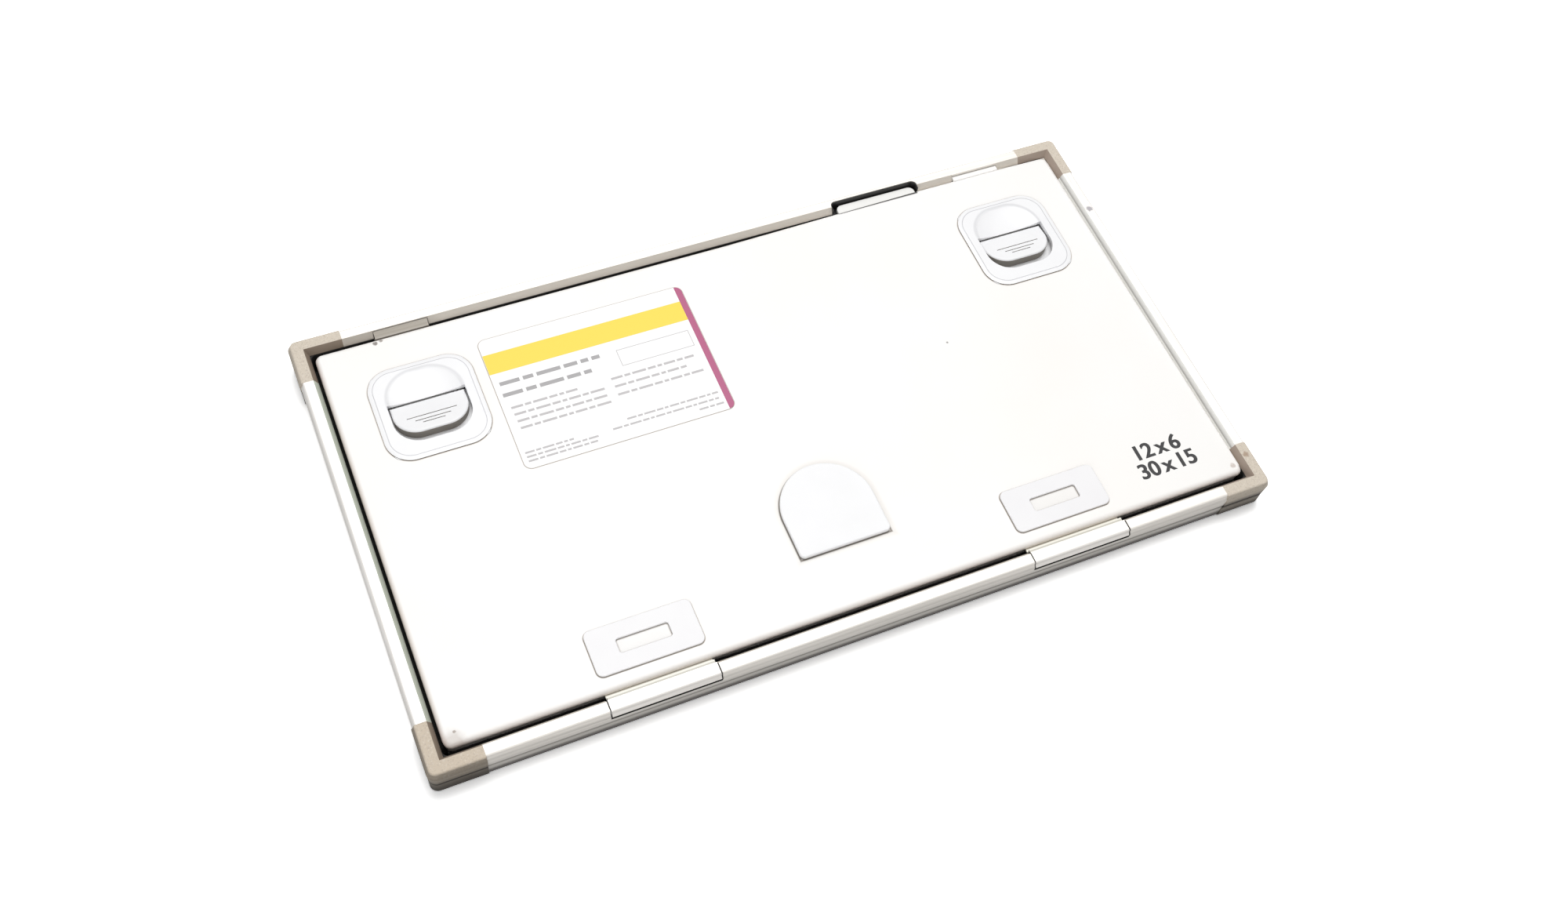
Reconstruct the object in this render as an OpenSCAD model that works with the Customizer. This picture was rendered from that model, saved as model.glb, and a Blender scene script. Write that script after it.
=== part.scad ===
// X-ray film cassette: an extruded aluminium frame with four moulded corners holds the tube-side
// panel and its screen. A hinged lid carries the foam, the lead foil and the second screen, and two
// sprung slide latches hold it shut.
// Millimetres. Origin at the middle of the underside, +X along the film, +Y towards the latches.

/* [Film and frame] */
// Length of the film sheet
film_w = 300; // [240:1:360]
// Width of the film sheet
film_d = 150; // [130:1:240]
// From the end of the film to the outer face of a corner, along the film
border_x = 17.3; // [16.5:0.1:22]
// From the edge of the film to the outer face of a corner, across the film
border_y = 17.5; // [16.5:0.1:22]
// Overall thickness
frame_t = 15; // [14.6:0.1:18]
// Width of the rim from the outer face to the opening
rim_w = 5.5; // [5.3:0.1:6.2]
// Width of the bevel inside the rim
bevel_w = 1.7; // [1.4:0.1:2.2]
// Depth of the bevel inside the rim
bevel_h = 3.2; // [2:0.1:3.4]
// Radius of the rim's outer top edge
edge_r = 0.8; // [0.4:0.1:1]
// How far that edge is set back from the rail's face
shoulder_in = 0.9; // [0.4:0.1:1.1]
// Depth below the top where the shoulder starts to slope out
shoulder_top = 1.3; // [1.1:0.1:1.6]
// Depth below the top where the shoulder meets the rail's face
shoulder_low = 2.6; // [2.2:0.1:3]
// Radius of the rim's outer bottom edge
foot_r = 1.4; // [0.6:0.1:2]

/* [Rails] */
// Outer wall of the rail extrusion
rail_wall = 1.4; // [1.2:0.1:1.6]
// Top wall of the rail extrusion
rail_top = 1.0; // [0.8:0.1:1.2]
// Inner wall of the rail extrusion
rail_inner = 1.2; // [0.8:0.1:1.4]
// Floor of the rail extrusion
rail_floor = 1.2; // [1:0.1:1.6]
// Depth below the top of the groove round the frame
groove_drop = 7.3; // [6.5:0.1:7.4]
// Height of that groove
groove_h = 0.8; // [0.5:0.1:1.4]
// Depth of that groove from the rail's face
groove_in = 1.0; // [0.6:0.1:1.1]
// How far the upper tier leans in above the groove
lean_in = 0.3; // [0:0.1:0.5]
// How far the lower tier is set back
tier_in = 0.4; // [0:0.1:0.6]
// Width of the ledge that carries the panel
ledge_w = 3; // [2:0.1:4]
// Thickness of the ledge
ledge_t = 0.8; // [0.6:0.1:1]

/* [Corners] */
// Length of each corner's leg from the outer face
corner_leg = 20.2; // [16:0.1:26]
// Radius of the corner in plan
corner_r = 3.4; // [2.4:0.1:5]
// How far a corner stands proud of the rails
corner_proud = 0.4; // [0.2:0.1:0.6]
// Fillet inside the corner
corner_fillet = 2.2; // [1:0.1:3]
// Length of the spigot that plugs into a rail
spigot_len = 14; // [8:1:20]
// Height of that spigot
spigot_h = 5; // [3:0.1:6]

/* [Panel, screens and seals] */
// Thickness of the tube-side panel
panel_t = 1.8; // [1.4:0.1:2]
// Thickness of an intensifying screen
screen_t = 0.8; // [0.5:0.1:1]
// How far a screen reaches past the film on each side
screen_over = 0.75; // [0.3:0.05:1.5]
// Gap between the screens, where the film lies
film_gap = 0.35; // [0.3:0.01:0.4]
// Thickness of the lead foil
foil_t = 0.3; // [0.1:0.05:0.4]
// Width of the felt light seal
seal_w = 4.5; // [3:0.1:6]

/* [Lid] */
// Lid face below the frame's top
lid_drop = 1.8; // [1.7:0.1:1.9]
// Thickness of the lid sheet
sheet_t = 1.0; // [0.8:0.1:1.2]
// Thickness of the lid's side walls
lid_wall = 1.5; // [1:0.1:1.8]
// Gap between the lid's wall and the frame, left end
gap_left = 1.75; // [0.5:0.05:2.6]
// The same at the right end
gap_right = 0.65; // [0.5:0.05:2.6]
// The same on the latch side
gap_far = 1.9; // [0.8:0.1:2.2]
// The same on the hinge side
gap_near = 3.1; // [2.8:0.1:4.2]
// Radius of the lid's corners in plan
lid_corner_r = 3; // [2.2:0.1:4]
// Width of the lid's rolled edge
roll_w = 1.7; // [0.6:0.1:1.8]
// Depth of that rolled edge
roll_h = 1.4; // [0.6:0.1:1.4]
// How far the lid's wall is tucked in below the rolled edge
tuck = 0.6; // [0.4:0.1:0.8]
// Clear height inside the lid
lid_room = 3.6; // [3.5:0.1:4]
// Thickness of the lid's inner tray
tray_t = 0.8; // [0.6:0.1:1]
// Width of a rib on the tray
rib_w = 6; // [4:0.5:10]

/* [Hinges] */
// Width of a hinge cap
hinge_w = 40.3; // [30:0.1:48]
// From the frame's end to the middle of a hinge
hinge_inset = 84.5; // [60:0.5:90]
// Radius of the hinge pin
pin_r = 0.8; // [0.6:0.05:0.9]
// Length of pin held in the rail at each end of the cap
pin_grip = 12; // [6:1:16]
// Radius of the cap's barrel
barrel_r = 1.3; // [1.2:0.05:1.5]
// From the cap's outer face to the pin's axis
pin_in = 1.9; // [1.8:0.05:2.1]
// Depth of the pin's axis below the frame's top
pin_drop = 2.0; // [1.9:0.05:2.1]
// Thickness of the hinge leaf
leaf_t = 0.6; // [0.5:0.1:0.7]
// Depth of the leaf's top below the frame's top
leaf_drop = 0.85; // [0.7:0.05:1]
// Width of the leaf that shows behind the cap
leaf_show = 2.1; // [1.8:0.1:2.4]
// Depth of the hinge plate, across the cassette
plate_d = 18.1; // [14:0.1:22]
// Width of the hinge plate
plate_w = 40.1; // [34:0.1:46]
// Thickness of the hinge plate
plate_t = 1.0; // [0.8:0.1:1.2]
// From the lid's hinge-side edge to the plate
plate_inset = 5.2; // [3:0.1:8]
// Radius of the plate's corners
plate_r = 2.6; // [1:0.1:4]
// Width of the window in the plate
window_w = 19.6; // [10:0.1:22]
// Depth of that window, across the cassette
window_d = 5.6; // [3:0.1:6]
// Radius of a rivet's shank
rivet_r = 0.9; // [0.6:0.05:1.1]

/* [Latches] */
// Width of the latch bezel
bezel_w = 40.4; // [38:0.1:46]
// Length of the latch bezel, across the cassette
bezel_d = 41.6; // [41:0.1:46]
// Radius of the bezel's corners
bezel_r = 10; // [6:0.1:12]
// How far the bezel stands above the lid
bezel_t = 0.7; // [0.6:0.1:0.9]
// Width of the sloping border round the bezel
bezel_rim = 1.9; // [1:0.1:2.4]
// From the lid's end to the middle of a latch
latch_inset = 34.3; // [28:0.1:40]
// From the lid's latch-side edge to the middle of a latch
latch_back = 35.9; // [34:0.1:42]
// Width of the slot for the slide button
slot_w = 30; // [26:0.1:31]
// Length of that slot
slot_d = 18.6; // [18:0.1:19]
// Radius of the slot's near corners
slot_r = 10; // [6:0.1:11]
// From the middle of the bezel to the slot's straight edge
slot_far = 4.8; // [4.6:0.1:5]
// Depth of the finger scoop at the slot
scoop_depth = 1.1; // [0.6:0.1:1.2]
// Length of the slide button
button_d = 14.5; // [13.5:0.1:14.6]
// Height of the button's tall edge below the frame's top
button_drop = 0.4; // [0.2:0.1:0.8]
// Height of the button's low edge above the recess floor
button_low = 2.4; // [1.4:0.1:2.5]
// Travel of a latch
latch_travel = 3.3; // [2.8:0.1:3.4]
// Thickness of the slide's base
base_t = 0.9; // [0.7:0.1:1]
// Width of a latch bolt
bolt_w = 19; // [14:0.1:20]
// Thickness of a latch bolt
bolt_t = 1.3; // [1:0.1:1.4]
// How far a bolt reaches under the rim
bolt_reach = 2.8; // [2.4:0.1:3]
// Outer radius of a latch spring
spring_r = 1.2; // [0.9:0.05:1.25]
// Radius of the spring's wire
wire_r = 0.2; // [0.15:0.01:0.25]

/* [Notch and lid tab] */
// From the frame's right end to the middle of the notch
notch_inset = 88.9; // [80:0.1:100]
// Length of the notch
notch_w = 39.8; // [36:0.1:44]
// Depth of the notch into the flat of the rim
notch_d = 2.5; // [1.8:0.1:2.6]
// Radius of the notch's corners
notch_r = 2.2; // [1:0.1:2.6]
// Wall of the liner in the notch
liner_t = 0.4; // [0.3:0.1:0.6]
// Length of the lid's lift tab
tab_w = 36; // [30:0.1:37]
// Gap between the tab's tip and the liner
tab_gap = 0.5; // [0.4:0.1:1.5]
// Depth of the tab's top below the frame's top
tab_drop = 2.4; // [2.3:0.1:2.6]
// Thickness of the tab
tab_t = 1.4; // [1:0.1:1.5]

/* [Pad and label] */
// Width of the D-shaped pad
pad_w = 36.5; // [26:0.5:44]
// Length of the pad's straight sides
pad_side = 17; // [10:0.5:22]
// From the lid's hinge-side edge to the pad
pad_inset = 23.2; // [20:0.1:30]
// Depth of the shallow recess round the pad
pad_sink = 0.2; // [0.1:0.05:0.5]
// Width of that recess round the pad
pad_ring = 8; // [4:0.5:9]
// Length of the label
label_w = 83.8; // [60:0.1:88]
// Height of the label
label_d = 60.6; // [40:0.1:62]
// From the lid's left end to the label
label_x = 59.3; // [56:0.1:62]
// From the lid's latch-side edge to the label
label_y = 13.6; // [10:0.1:20]
// Thickness of the label
label_t = 0.15; // [0.1:0.01:0.3]

/* [Hidden] */

// Small clearances, each used for one kind of fit
clear_move = 0.3;    // between pieces that move past each other
clear_fit = 0.15;    // round a piece that is plugged or glued in
clear_pin = 0.05;    // round the pin inside a cap's barrel
clear_hold = 0.02;   // round the pin inside the rail
clear_seal = 0.05;   // round a piece that is set in firmly
eps = 0.01;          // overlap of two shapes that are joined
over = 1;            // overrun of a cut past the faces it crosses

// Frame
spigot_root = 1;                           // spigot's overlap with its corner
frame_w = film_w + 2 * border_x;
frame_d = film_d + 2 * border_y;
half_w = frame_w / 2;
half_d = frame_d / 2;
wall_u = rim_w + bevel_w;                  // inner face of the rails, from the outer face
groove_top = frame_t - groove_drop;
groove_low = groove_top - groove_h;
bolt_under = 0.4;                          // bolt's top below the lid sheet
cavity_u = corner_proud + rail_wall;
cavity_in = wall_u - rail_inner;
lip_w = 1.2;                               // lip over the bolts, beside the opening
panel_half_w = half_w - wall_u - clear_fit;
panel_half_d = half_d - wall_u - clear_fit;
screen_half_w = film_w / 2 + screen_over;
screen_half_d = film_d / 2 + screen_over;
screen_z = panel_t;
back_z = screen_z + screen_t + film_gap;
seal_z = panel_t + ledge_t;

// Lid
lid_top = frame_t - lid_drop;
lid_under = lid_top - sheet_t;
tray_top = lid_under - lid_room;
tray_z = tray_top - tray_t;
foil_z = tray_z - foil_t;
foam_z = back_z + screen_t;
seal_h = tray_z - clear_move - seal_z;
tray_r = 1;                                // radius of the tray's corners
rib_gap = 0.1;                             // between a rib and the lid sheet
lid_x0 = -(half_w - wall_u - gap_left + tuck);
lid_x1 = half_w - wall_u - gap_right + tuck;
lid_y0 = -(half_d - wall_u - gap_near + tuck);
lid_y1 = half_d - wall_u - gap_far + tuck;
lid_in = tuck + lid_wall;                  // inner face of the lid's wall, from its edge
rib_places = [0.3, 0.6];                   // share of the lid's depth, from the hinge side
rib_end = 12;                              // a rib stops this far short of the lid's ends

// Hinges
hinge_x = half_w - hinge_inset;
cap_u = corner_proud;                               // cap's outer face, flush with the rail
pin_u = cap_u + pin_in;
pin_y = -half_d + pin_u;
pin_z = frame_t - pin_drop;
cap_low = 0.7;                             // cap's outer face ends this far below the pin
cap_swing = norm([pin_in, cap_low]);       // radius that the cap sweeps
leaf_dip = 1.2;                            // leaf's low run below the lid sheet
leaf_low = lid_under - leaf_dip;
hinge_cut_z = min(pin_z - cap_swing, leaf_low) - clear_move;
leaf_top = frame_t - leaf_drop;
cap_grip = 1;                              // cap's reach under the leaf
cap_jaw = 0.7;                             // thickness of the cap under the leaf
leaf_hold = 1.5;                           // width of the leaf inside the cap
leaf_start = rim_w - leaf_hold;
cap_over = 0.5;                            // cap's reach over the leaf, past the flat of the rim
leaf_past = 1;                             // leaf's reach past the plate, under the lid sheet
leaf_back = plate_inset + plate_d + leaf_past;
leaf_w = hinge_w - 2 * clear_move;
window_r = 0.9;                            // radius of the window's corners
plate_y = lid_y0 + plate_inset + plate_d / 2;
rivet_end = 5.2;                           // rivet from the plate's end
rivet_side = 4;                            // rivet from the plate's long side
rivet_x = plate_w / 2 - rivet_end;
rivet_y = plate_d / 2 - rivet_side;
head_r = rivet_r * 2;
head_t = 0.5;
head_gap = 0.1;                            // between a rivet's head and the plate

// Latches
latch_left_x = lid_x0 + latch_inset;
latch_right_x = lid_x1 - latch_inset;
latch_y = lid_y1 - latch_back;
bezel_top = lid_top + bezel_t;
body_drop = 0.1;                           // bezel's thick middle, below the lid sheet
body_z = lid_under - body_drop;
skirt_in = 1.8;                            // skirt from the bezel's edge
skirt_w = bezel_w - 2 * skirt_in;
skirt_d = bezel_d - 2 * skirt_in;
skirt_r = 3;
skirt_wall = 1;
slot_near = slot_far - slot_d;
button_gap = 0.4;                          // between the button and the slot's straight edge
button_far = slot_far - button_gap;
button_round = 0.6;                        // radius of the button's tall edge
button_near = button_far - button_d;
side_gap = 0.6;                            // beside the button
ridges = [[19, 0.5], [13.8, 0.63], [8.6, 0.74]];   // length and share of the slope
ridge_w = 0.5;
ridge_h = 0.25;
ridge_sink = 0.3;                          // depth of a ridge's root
scoop_side = 0.8;                          // scoop's radius, less than half the slot
scoop_back = 1.6;                          // scoop's centre, before the slot's straight edge
scoop_flat = 0.55;                         // share of the scoop with a level floor
base_z = tray_top + clear_move;
floor_z = base_z + base_t;
button_top = frame_t - button_drop;
button_tip = floor_z + button_low;
bolt_top = lid_under - bolt_under;
bolt_z = bolt_top - bolt_t;
base_lap = 0.6;                            // base's reach under the slot's near edge
base_near = slot_near - base_lap;
base_play = 1.1;                           // between the base and the skirt's far wall
base_far = skirt_d / 2 - skirt_wall - base_play;
base_side = 0.8;                           // between the base and the skirt's side walls
base_w = skirt_w - 2 * skirt_wall - 2 * base_side;
base_r = 1.5;                              // radius of the base's corners
spring_out = 4.2;                          // spring's axis beside the bolt
spring_x = bolt_w / 2 + spring_out;
lug_gap = 1.1;                             // lug behind the slot's straight edge
lug_y = slot_far + lug_gap;
lug_t = 1.2;
lug_play = 0.4;                            // round a lug and its spring
spring_y0 = lug_y + lug_t;
spring_stop = 1.3;                         // base's border behind a spring
spring_y1 = base_far - spring_stop;
spring_z = base_z + spring_r;
spring_turns = 7;
post_r = 1.2;
post_x = bolt_w / 4;
bolt_gap = 1.8;                            // bolt's root behind the slot's straight edge
bolt_y0 = slot_far + bolt_gap;
bolt_r = 1;                                // radius of the bolt's tip corners
bolt_tip = half_d - rim_w + bolt_reach - latch_y;
hood_side = 1;                             // lid lip over each bolt, beside it
hood_w = bolt_w + 2 * hood_side;
hood_out = half_d - rim_w - clear_move;
hood_drop = 1.4;                           // that lip's top, below the frame's top
hood_top = frame_t - hood_drop;
hood_root = 1;                             // lip's overlap with the lid's edge
hood_low = lid_under + 0.4;                // left lip's top where it meets the lid
hood_rise = frame_t - 0.55;                // and where it meets the rim
hood_foot = 0.45;                          // level run between the lid's edge and that slope

// Notch and tab
notch_x = half_w - notch_inset;
notch_h = 5.6;                             // height of the notch
notch_z = frame_t - notch_h;
liner_drop = 0.3;                          // liner's edge below the frame's top
tab_shift = 0.7;                           // tab's middle, off the notch's
tab_x = notch_x + tab_shift;
tab_r = 2;                                 // radius of the tab's corners
tab_y0 = lid_y1 - lid_in;
tab_y1 = half_d - rim_w + notch_d - liner_t - tab_gap;
tab_top = frame_t - tab_drop;
pad_z = lid_top - pad_sink;
pad_r = pad_w / 2;
pad_x = -0.25;                             // middle of the pad
pad_y0 = lid_y0 + pad_inset;
label_r = 3;                               // radius of the label's corners

// Points along an arc, from angle a0 to a1
function arc(cx, cy, r, a0, a1, n = 8) =
    [for (i = [0:n]) let (a = a0 + (a1 - a0) * i / n) [cx + r * cos(a), cy + r * sin(a)]];

// Rectangle with round corners
function round_rect(x0, y0, x1, y1, r, n = 8) = concat(
    arc(x1 - r, y1 - r, r, 0, 90, n), arc(x0 + r, y1 - r, r, 90, 180, n),
    arc(x0 + r, y0 + r, r, 180, 270, n), arc(x1 - r, y0 + r, r, 270, 360, n));

// The same about the origin, with its edge set in by a margin
function centred_rect(w, d, r, margin = 0, n = 8) = round_rect(-w / 2 + margin, -d / 2 + margin,
    w / 2 - margin, d / 2 - margin, r - margin, n);

// Outline with a straight far edge and round near corners
function d_outline(w, y0, y1, r) = concat(
    [[w / 2, y1], [-w / 2, y1]],
    arc(-w / 2 + r, y0 + r, r, 180, 270, 12), arc(w / 2 - r, y0 + r, r, 270, 360, 12));

// Outline with a straight near edge and a half-round far end
function arch_outline(r, side, y0) = concat(
    [[-r, y0], [r, y0]], arc(0, y0 + side, r, 0, 180, 28));

// Outer top edge of the rim and the sloping shoulder below it
function shoulder(proud) = concat(
    arc(proud + shoulder_in + edge_r, frame_t - edge_r, edge_r, 90, 180),
    [[proud + shoulder_in, frame_t - shoulder_top], [proud, frame_t - shoulder_low]]);

// Cross-section of the frame: u runs inwards from the outer face, z runs up
function rim_outline(proud) = concat(
    [[wall_u, 0], [wall_u, panel_t], [wall_u + ledge_w, panel_t],
     [wall_u + ledge_w, panel_t + ledge_t], [wall_u, panel_t + ledge_t],
     [wall_u, frame_t - bevel_h], [rim_w, frame_t]],
    shoulder(proud), [[proud + lean_in, groove_top],
     [proud + groove_in, groove_top - groove_h / 4],
     [proud + groove_in, groove_low + groove_h / 4], [proud + tier_in, groove_low]],
    arc(proud + tier_in + foot_r, foot_r, foot_r, 180, 270));

module rim_section(proud) {
    polygon(rim_outline(proud));
}

// The hollow inside a rail, with the lip that the bolts pass under
module rail_hollow() {
    polygon([[cavity_u, rail_floor], [cavity_in, rail_floor], [cavity_in, bolt_top + clear_move],
             [rim_w - lip_w, bolt_top + clear_move], [rim_w - lip_w, frame_t - rail_top],
             [cavity_u + shoulder_in, frame_t - rail_top],
             [cavity_u + shoulder_in, frame_t - shoulder_top - rail_top / 2],
             [cavity_u, frame_t - shoulder_low - rail_top / 2]]);
}

module rail_section() {
    difference() {
        rim_section(corner_proud);
        rail_hollow();
    }
}

// Extrudes a section along X, at the hinge side
module run_x(x0, x1) {
    translate([x0, -half_d, 0]) rotate([90, 0, 90]) linear_extrude(x1 - x0) children();
}

// Extrudes a section along Y, at the left end
module run_y(y0, y1) {
    translate([-half_w, y1, 0]) rotate([90, 0, 0]) linear_extrude(y1 - y0) children();
}

// ---- Frame ----

module hinge_slot_cut(side) {
    w = hinge_w + 2 * clear_move;
    translate([side * hinge_x - w / 2, -half_d - over, hinge_cut_z])
        cube([w, wall_u + 2 * over, frame_t]);
}

module rail_hinge_side() {
    color("silver") difference() {
        run_x(-half_w + corner_leg, half_w - corner_leg) difference() {
            rim_section(corner_proud);
            translate([cavity_u, rail_floor])
                square([cavity_in - cavity_u, hinge_cut_z - 2 * rail_floor]);
        }
        translate([-half_w, pin_y, pin_z]) rotate([0, 90, 0])
            cylinder(h = frame_w, r = pin_r + clear_hold, $fn = 48);
        for (side = [-1, 1]) hinge_slot_cut(side);
    }
}

// Way for a bolt and its hood through the inner wall of the rail
module bolt_way(x) {
    w = hood_w + 2 * clear_move;
    translate([x - w / 2, half_d - wall_u - over, bolt_z - clear_move])
        cube([w, bevel_w + over, frame_t]);
}

// Outline of the notch, from inside the opening, grown by a margin
module notch_outline(grow) {
    w = notch_w / 2 + grow;
    r = notch_r + grow;
    start = half_d - wall_u - over;
    tip = half_d - rim_w + notch_d + grow;
    polygon(concat([[notch_x - w, start], [notch_x + w, start]],
        arc(notch_x + w - r, tip - r, r, 0, 90), arc(notch_x - w + r, tip - r, r, 90, 180)));
}

module rail_latch_side() {
    color("silver") difference() {
        mirror([0, 1, 0]) run_x(-half_w + corner_leg, half_w - corner_leg) rail_section();
        bolt_way(latch_left_x);
        bolt_way(latch_right_x);
        translate([0, 0, notch_z]) linear_extrude(frame_t) notch_outline(0);
    }
}

module rail_left() {
    color("silver") run_y(-half_d + corner_leg, half_d - corner_leg) rail_section();
}

module rail_right() {
    color("silver") mirror([1, 0, 0])
        run_y(-half_d + corner_leg, half_d - corner_leg) rail_section();
}

// Bar that plugs into the hollow of a rail, along X from the leg's end
module spigot_section() {
    translate([cavity_u + clear_fit, rail_floor + clear_fit])
        square([cavity_in - cavity_u - 2 * clear_fit, spigot_h]);
}

// The corner at the hinge side and the left end; the others are mirrored
module corner_piece() {
    color("#b9ae9f") {
        translate([-half_w + corner_r, -half_d + corner_r, 0]) rotate([0, 0, 180])
            rotate_extrude(angle = 90, $fn = 64) intersection() {
                translate([corner_r, 0]) mirror([1, 0]) rim_section(0);
                square([corner_r, frame_t]);
            }
        run_x(-half_w + corner_r, -half_w + corner_leg) rim_section(0);
        run_y(-half_d + corner_r, -half_d + corner_leg) rim_section(0);
        run_x(-half_w + corner_leg - spigot_root, -half_w + corner_leg + spigot_len) spigot_section();
        run_y(-half_d + corner_leg - spigot_root, -half_d + corner_leg + spigot_len) spigot_section();
        translate([-half_w + wall_u, -half_d + wall_u, panel_t])
            linear_extrude(frame_t - bevel_h - panel_t)
                polygon(concat([[0, 0]], arc(corner_fillet, corner_fillet, corner_fillet, 270, 180)));
    }
}

module corner_hinge_left() {
    corner_piece();
}

module corner_hinge_right() {
    mirror([1, 0, 0]) corner_piece();
}

module corner_latch_left() {
    mirror([0, 1, 0]) corner_piece();
}

module corner_latch_right() {
    mirror([1, 0, 0]) mirror([0, 1, 0]) corner_piece();
}

module front_panel() {
    color("#dcdcd8") translate([-panel_half_w, -panel_half_d, 0])
        cube([2 * panel_half_w, 2 * panel_half_d, panel_t]);
}

module screen_sheet(z, t) {
    translate([-screen_half_w, -screen_half_d, z]) cube([2 * screen_half_w, 2 * screen_half_d, t]);
}

module front_screen() {
    color("#f4f4ee") screen_sheet(screen_z, screen_t);
}

// Felt strips lie on the ledge, under the edge of the lid
module seal_along(sign) {
    translate([-half_w + wall_u + corner_fillet, sign > 0 ? half_d - wall_u - clear_seal - seal_w
        : -half_d + wall_u + clear_seal, seal_z])
        cube([frame_w - 2 * wall_u - 2 * corner_fillet, seal_w, seal_h]);
}

module seal_across(sign) {
    y_end = half_d - wall_u - clear_seal - seal_w - clear_seal;
    translate([sign > 0 ? half_w - wall_u - clear_seal - seal_w : -half_w + wall_u + clear_seal,
        -y_end, seal_z]) cube([seal_w, 2 * y_end, seal_h]);
}

module seal_hinge_side() {
    color("#2b2a28") seal_along(-1);
}

module seal_latch_side() {
    color("#2b2a28") seal_along(1);
}

module seal_left() {
    color("#2b2a28") seal_across(-1);
}

module seal_right() {
    color("#2b2a28") seal_across(1);
}

module notch_liner() {
    top = frame_t - liner_drop;
    color("#141414") difference() {
        translate([0, 0, notch_z + clear_seal]) linear_extrude(top - notch_z - clear_seal)
            intersection() {
                notch_outline(-clear_seal);
                translate([notch_x - notch_w, half_d - wall_u + clear_seal])
                    square([2 * notch_w, wall_u]);
            }
        translate([0, 0, notch_z + liner_t]) linear_extrude(frame_t) notch_outline(-liner_t);
    }
}

// ---- Hinges ----

module hinge_pin(side) {
    length = hinge_w + 2 * pin_grip;
    color("#8d9094") translate([side * hinge_x - length / 2, pin_y, pin_z]) rotate([0, 90, 0])
        cylinder(h = length, r = pin_r, $fn = 48);
}

module hinge_pin_left() {
    hinge_pin(-1);
}

module hinge_pin_right() {
    hinge_pin(1);
}

// Section of a cap: barrel, rounded top and the groove that grips the leaf
module cap_section() {
    jaw_z = leaf_top - leaf_t - cap_jaw;
    difference() {
        union() {
            translate([pin_u, pin_z]) circle(barrel_r, $fn = 48);
            polygon(concat(
                [[cap_u, pin_z - cap_low], [pin_u, pin_z - cap_low], [leaf_start + cap_grip, jaw_z],
                 [leaf_start + cap_grip, leaf_top - leaf_t - clear_seal],
                 [leaf_start - clear_seal, leaf_top - leaf_t - clear_seal],
                 [leaf_start - clear_seal, leaf_top], [rim_w + cap_over, leaf_top],
                 [rim_w + cap_over, frame_t]],
                shoulder(cap_u)));
        }
        translate([pin_u, pin_z]) circle(pin_r + clear_pin, $fn = 48);
    }
}

module hinge_cap(side) {
    color("silver") run_x(side * hinge_x - hinge_w / 2, side * hinge_x + hinge_w / 2) cap_section();
}

module hinge_cap_left() {
    hinge_cap(-1);
}

module hinge_cap_right() {
    hinge_cap(1);
}

// Rivet places on one hinge
module at_rivets(side) {
    for (i = [-1, 1]) for (j = [-1, 1])
        translate([side * hinge_x + i * rivet_x, plate_y + j * rivet_y, 0]) children();
}

module hinge_leaf(side) {
    step = rim_w + leaf_show;
    jog = half_d + lid_y0 + lid_in + 2 * leaf_t;
    leaf_end = half_d + lid_y0 + leaf_back;
    low = lid_under - leaf_t;
    color("#e9e3cf") difference() {
        run_x(side * hinge_x - leaf_w / 2, side * hinge_x + leaf_w / 2)
            polygon([[leaf_start, leaf_top - leaf_t], [step - leaf_t, leaf_top - leaf_t],
                     [step - leaf_t, leaf_low], [jog, leaf_low], [jog, low], [leaf_end, low],
                     [leaf_end, lid_under], [jog - leaf_t, lid_under],
                     [jog - leaf_t, leaf_low + leaf_t], [step, leaf_low + leaf_t],
                     [step, leaf_top - clear_seal], [leaf_start, leaf_top - clear_seal]]);
        at_rivets(side) translate([0, 0, low - over])
            cylinder(h = leaf_t + 2 * over, r = rivet_r + clear_seal, $fn = 32);
    }
}

module hinge_leaf_left() {
    hinge_leaf(-1);
}

module hinge_leaf_right() {
    hinge_leaf(1);
}

module hinge_plate(side) {
    x = side * hinge_x;
    color("#f0f0f2") difference() {
        translate([x, plate_y, lid_top]) linear_extrude(plate_t) difference() {
            polygon(centred_rect(plate_w, plate_d, plate_r));
            polygon(centred_rect(window_w, window_d, window_r));
        }
        at_rivets(side) translate([0, 0, lid_top - over])
            cylinder(h = over + head_t + head_gap, r = head_r + clear_fit, $fn = 32);
    }
}

module hinge_plate_left() {
    hinge_plate(-1);
}

module hinge_plate_right() {
    hinge_plate(1);
}

module hinge_rivets(side) {
    low = lid_under - leaf_t;
    color("#a9abad") at_rivets(side) {
        translate([0, 0, low - head_t]) cylinder(h = head_t, r = head_r, $fn = 32);
        translate([0, 0, low - head_t]) cylinder(h = lid_top - low + 2 * head_t, r = rivet_r, $fn = 32);
        translate([0, 0, lid_top]) cylinder(h = head_t, r = head_r, $fn = 32);
    }
}

module hinge_rivets_left() {
    hinge_rivets(-1);
}

module hinge_rivets_right() {
    hinge_rivets(1);
}

// ---- Lid ----

// Wall and rolled edge of the lid, with u inwards from the lid's side
module lid_edge_section(reach) {
    roll = [for (i = [0:6]) let (a = 90 + 15 * i)
        [roll_w + roll_w * cos(a), lid_top - roll_h + roll_h * sin(a)]];
    polygon(concat([[lid_in, tray_z], [lid_in, lid_under], [reach, lid_under], [reach, lid_top]],
        roll, [[tuck, frame_t - bevel_h - clear_move], [tuck, tray_z]]));
}

// One straight run of the lid's edge, between the corners, along +X from the origin
module lid_run(length) {
    rotate([90, 0, 90]) linear_extrude(length) lid_edge_section(lid_corner_r);
}

module lid_corner() {
    rotate([0, 0, 180]) rotate_extrude(angle = 90, $fn = 48)
        translate([lid_corner_r, 0]) mirror([1, 0]) lid_edge_section(lid_corner_r);
}

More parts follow.
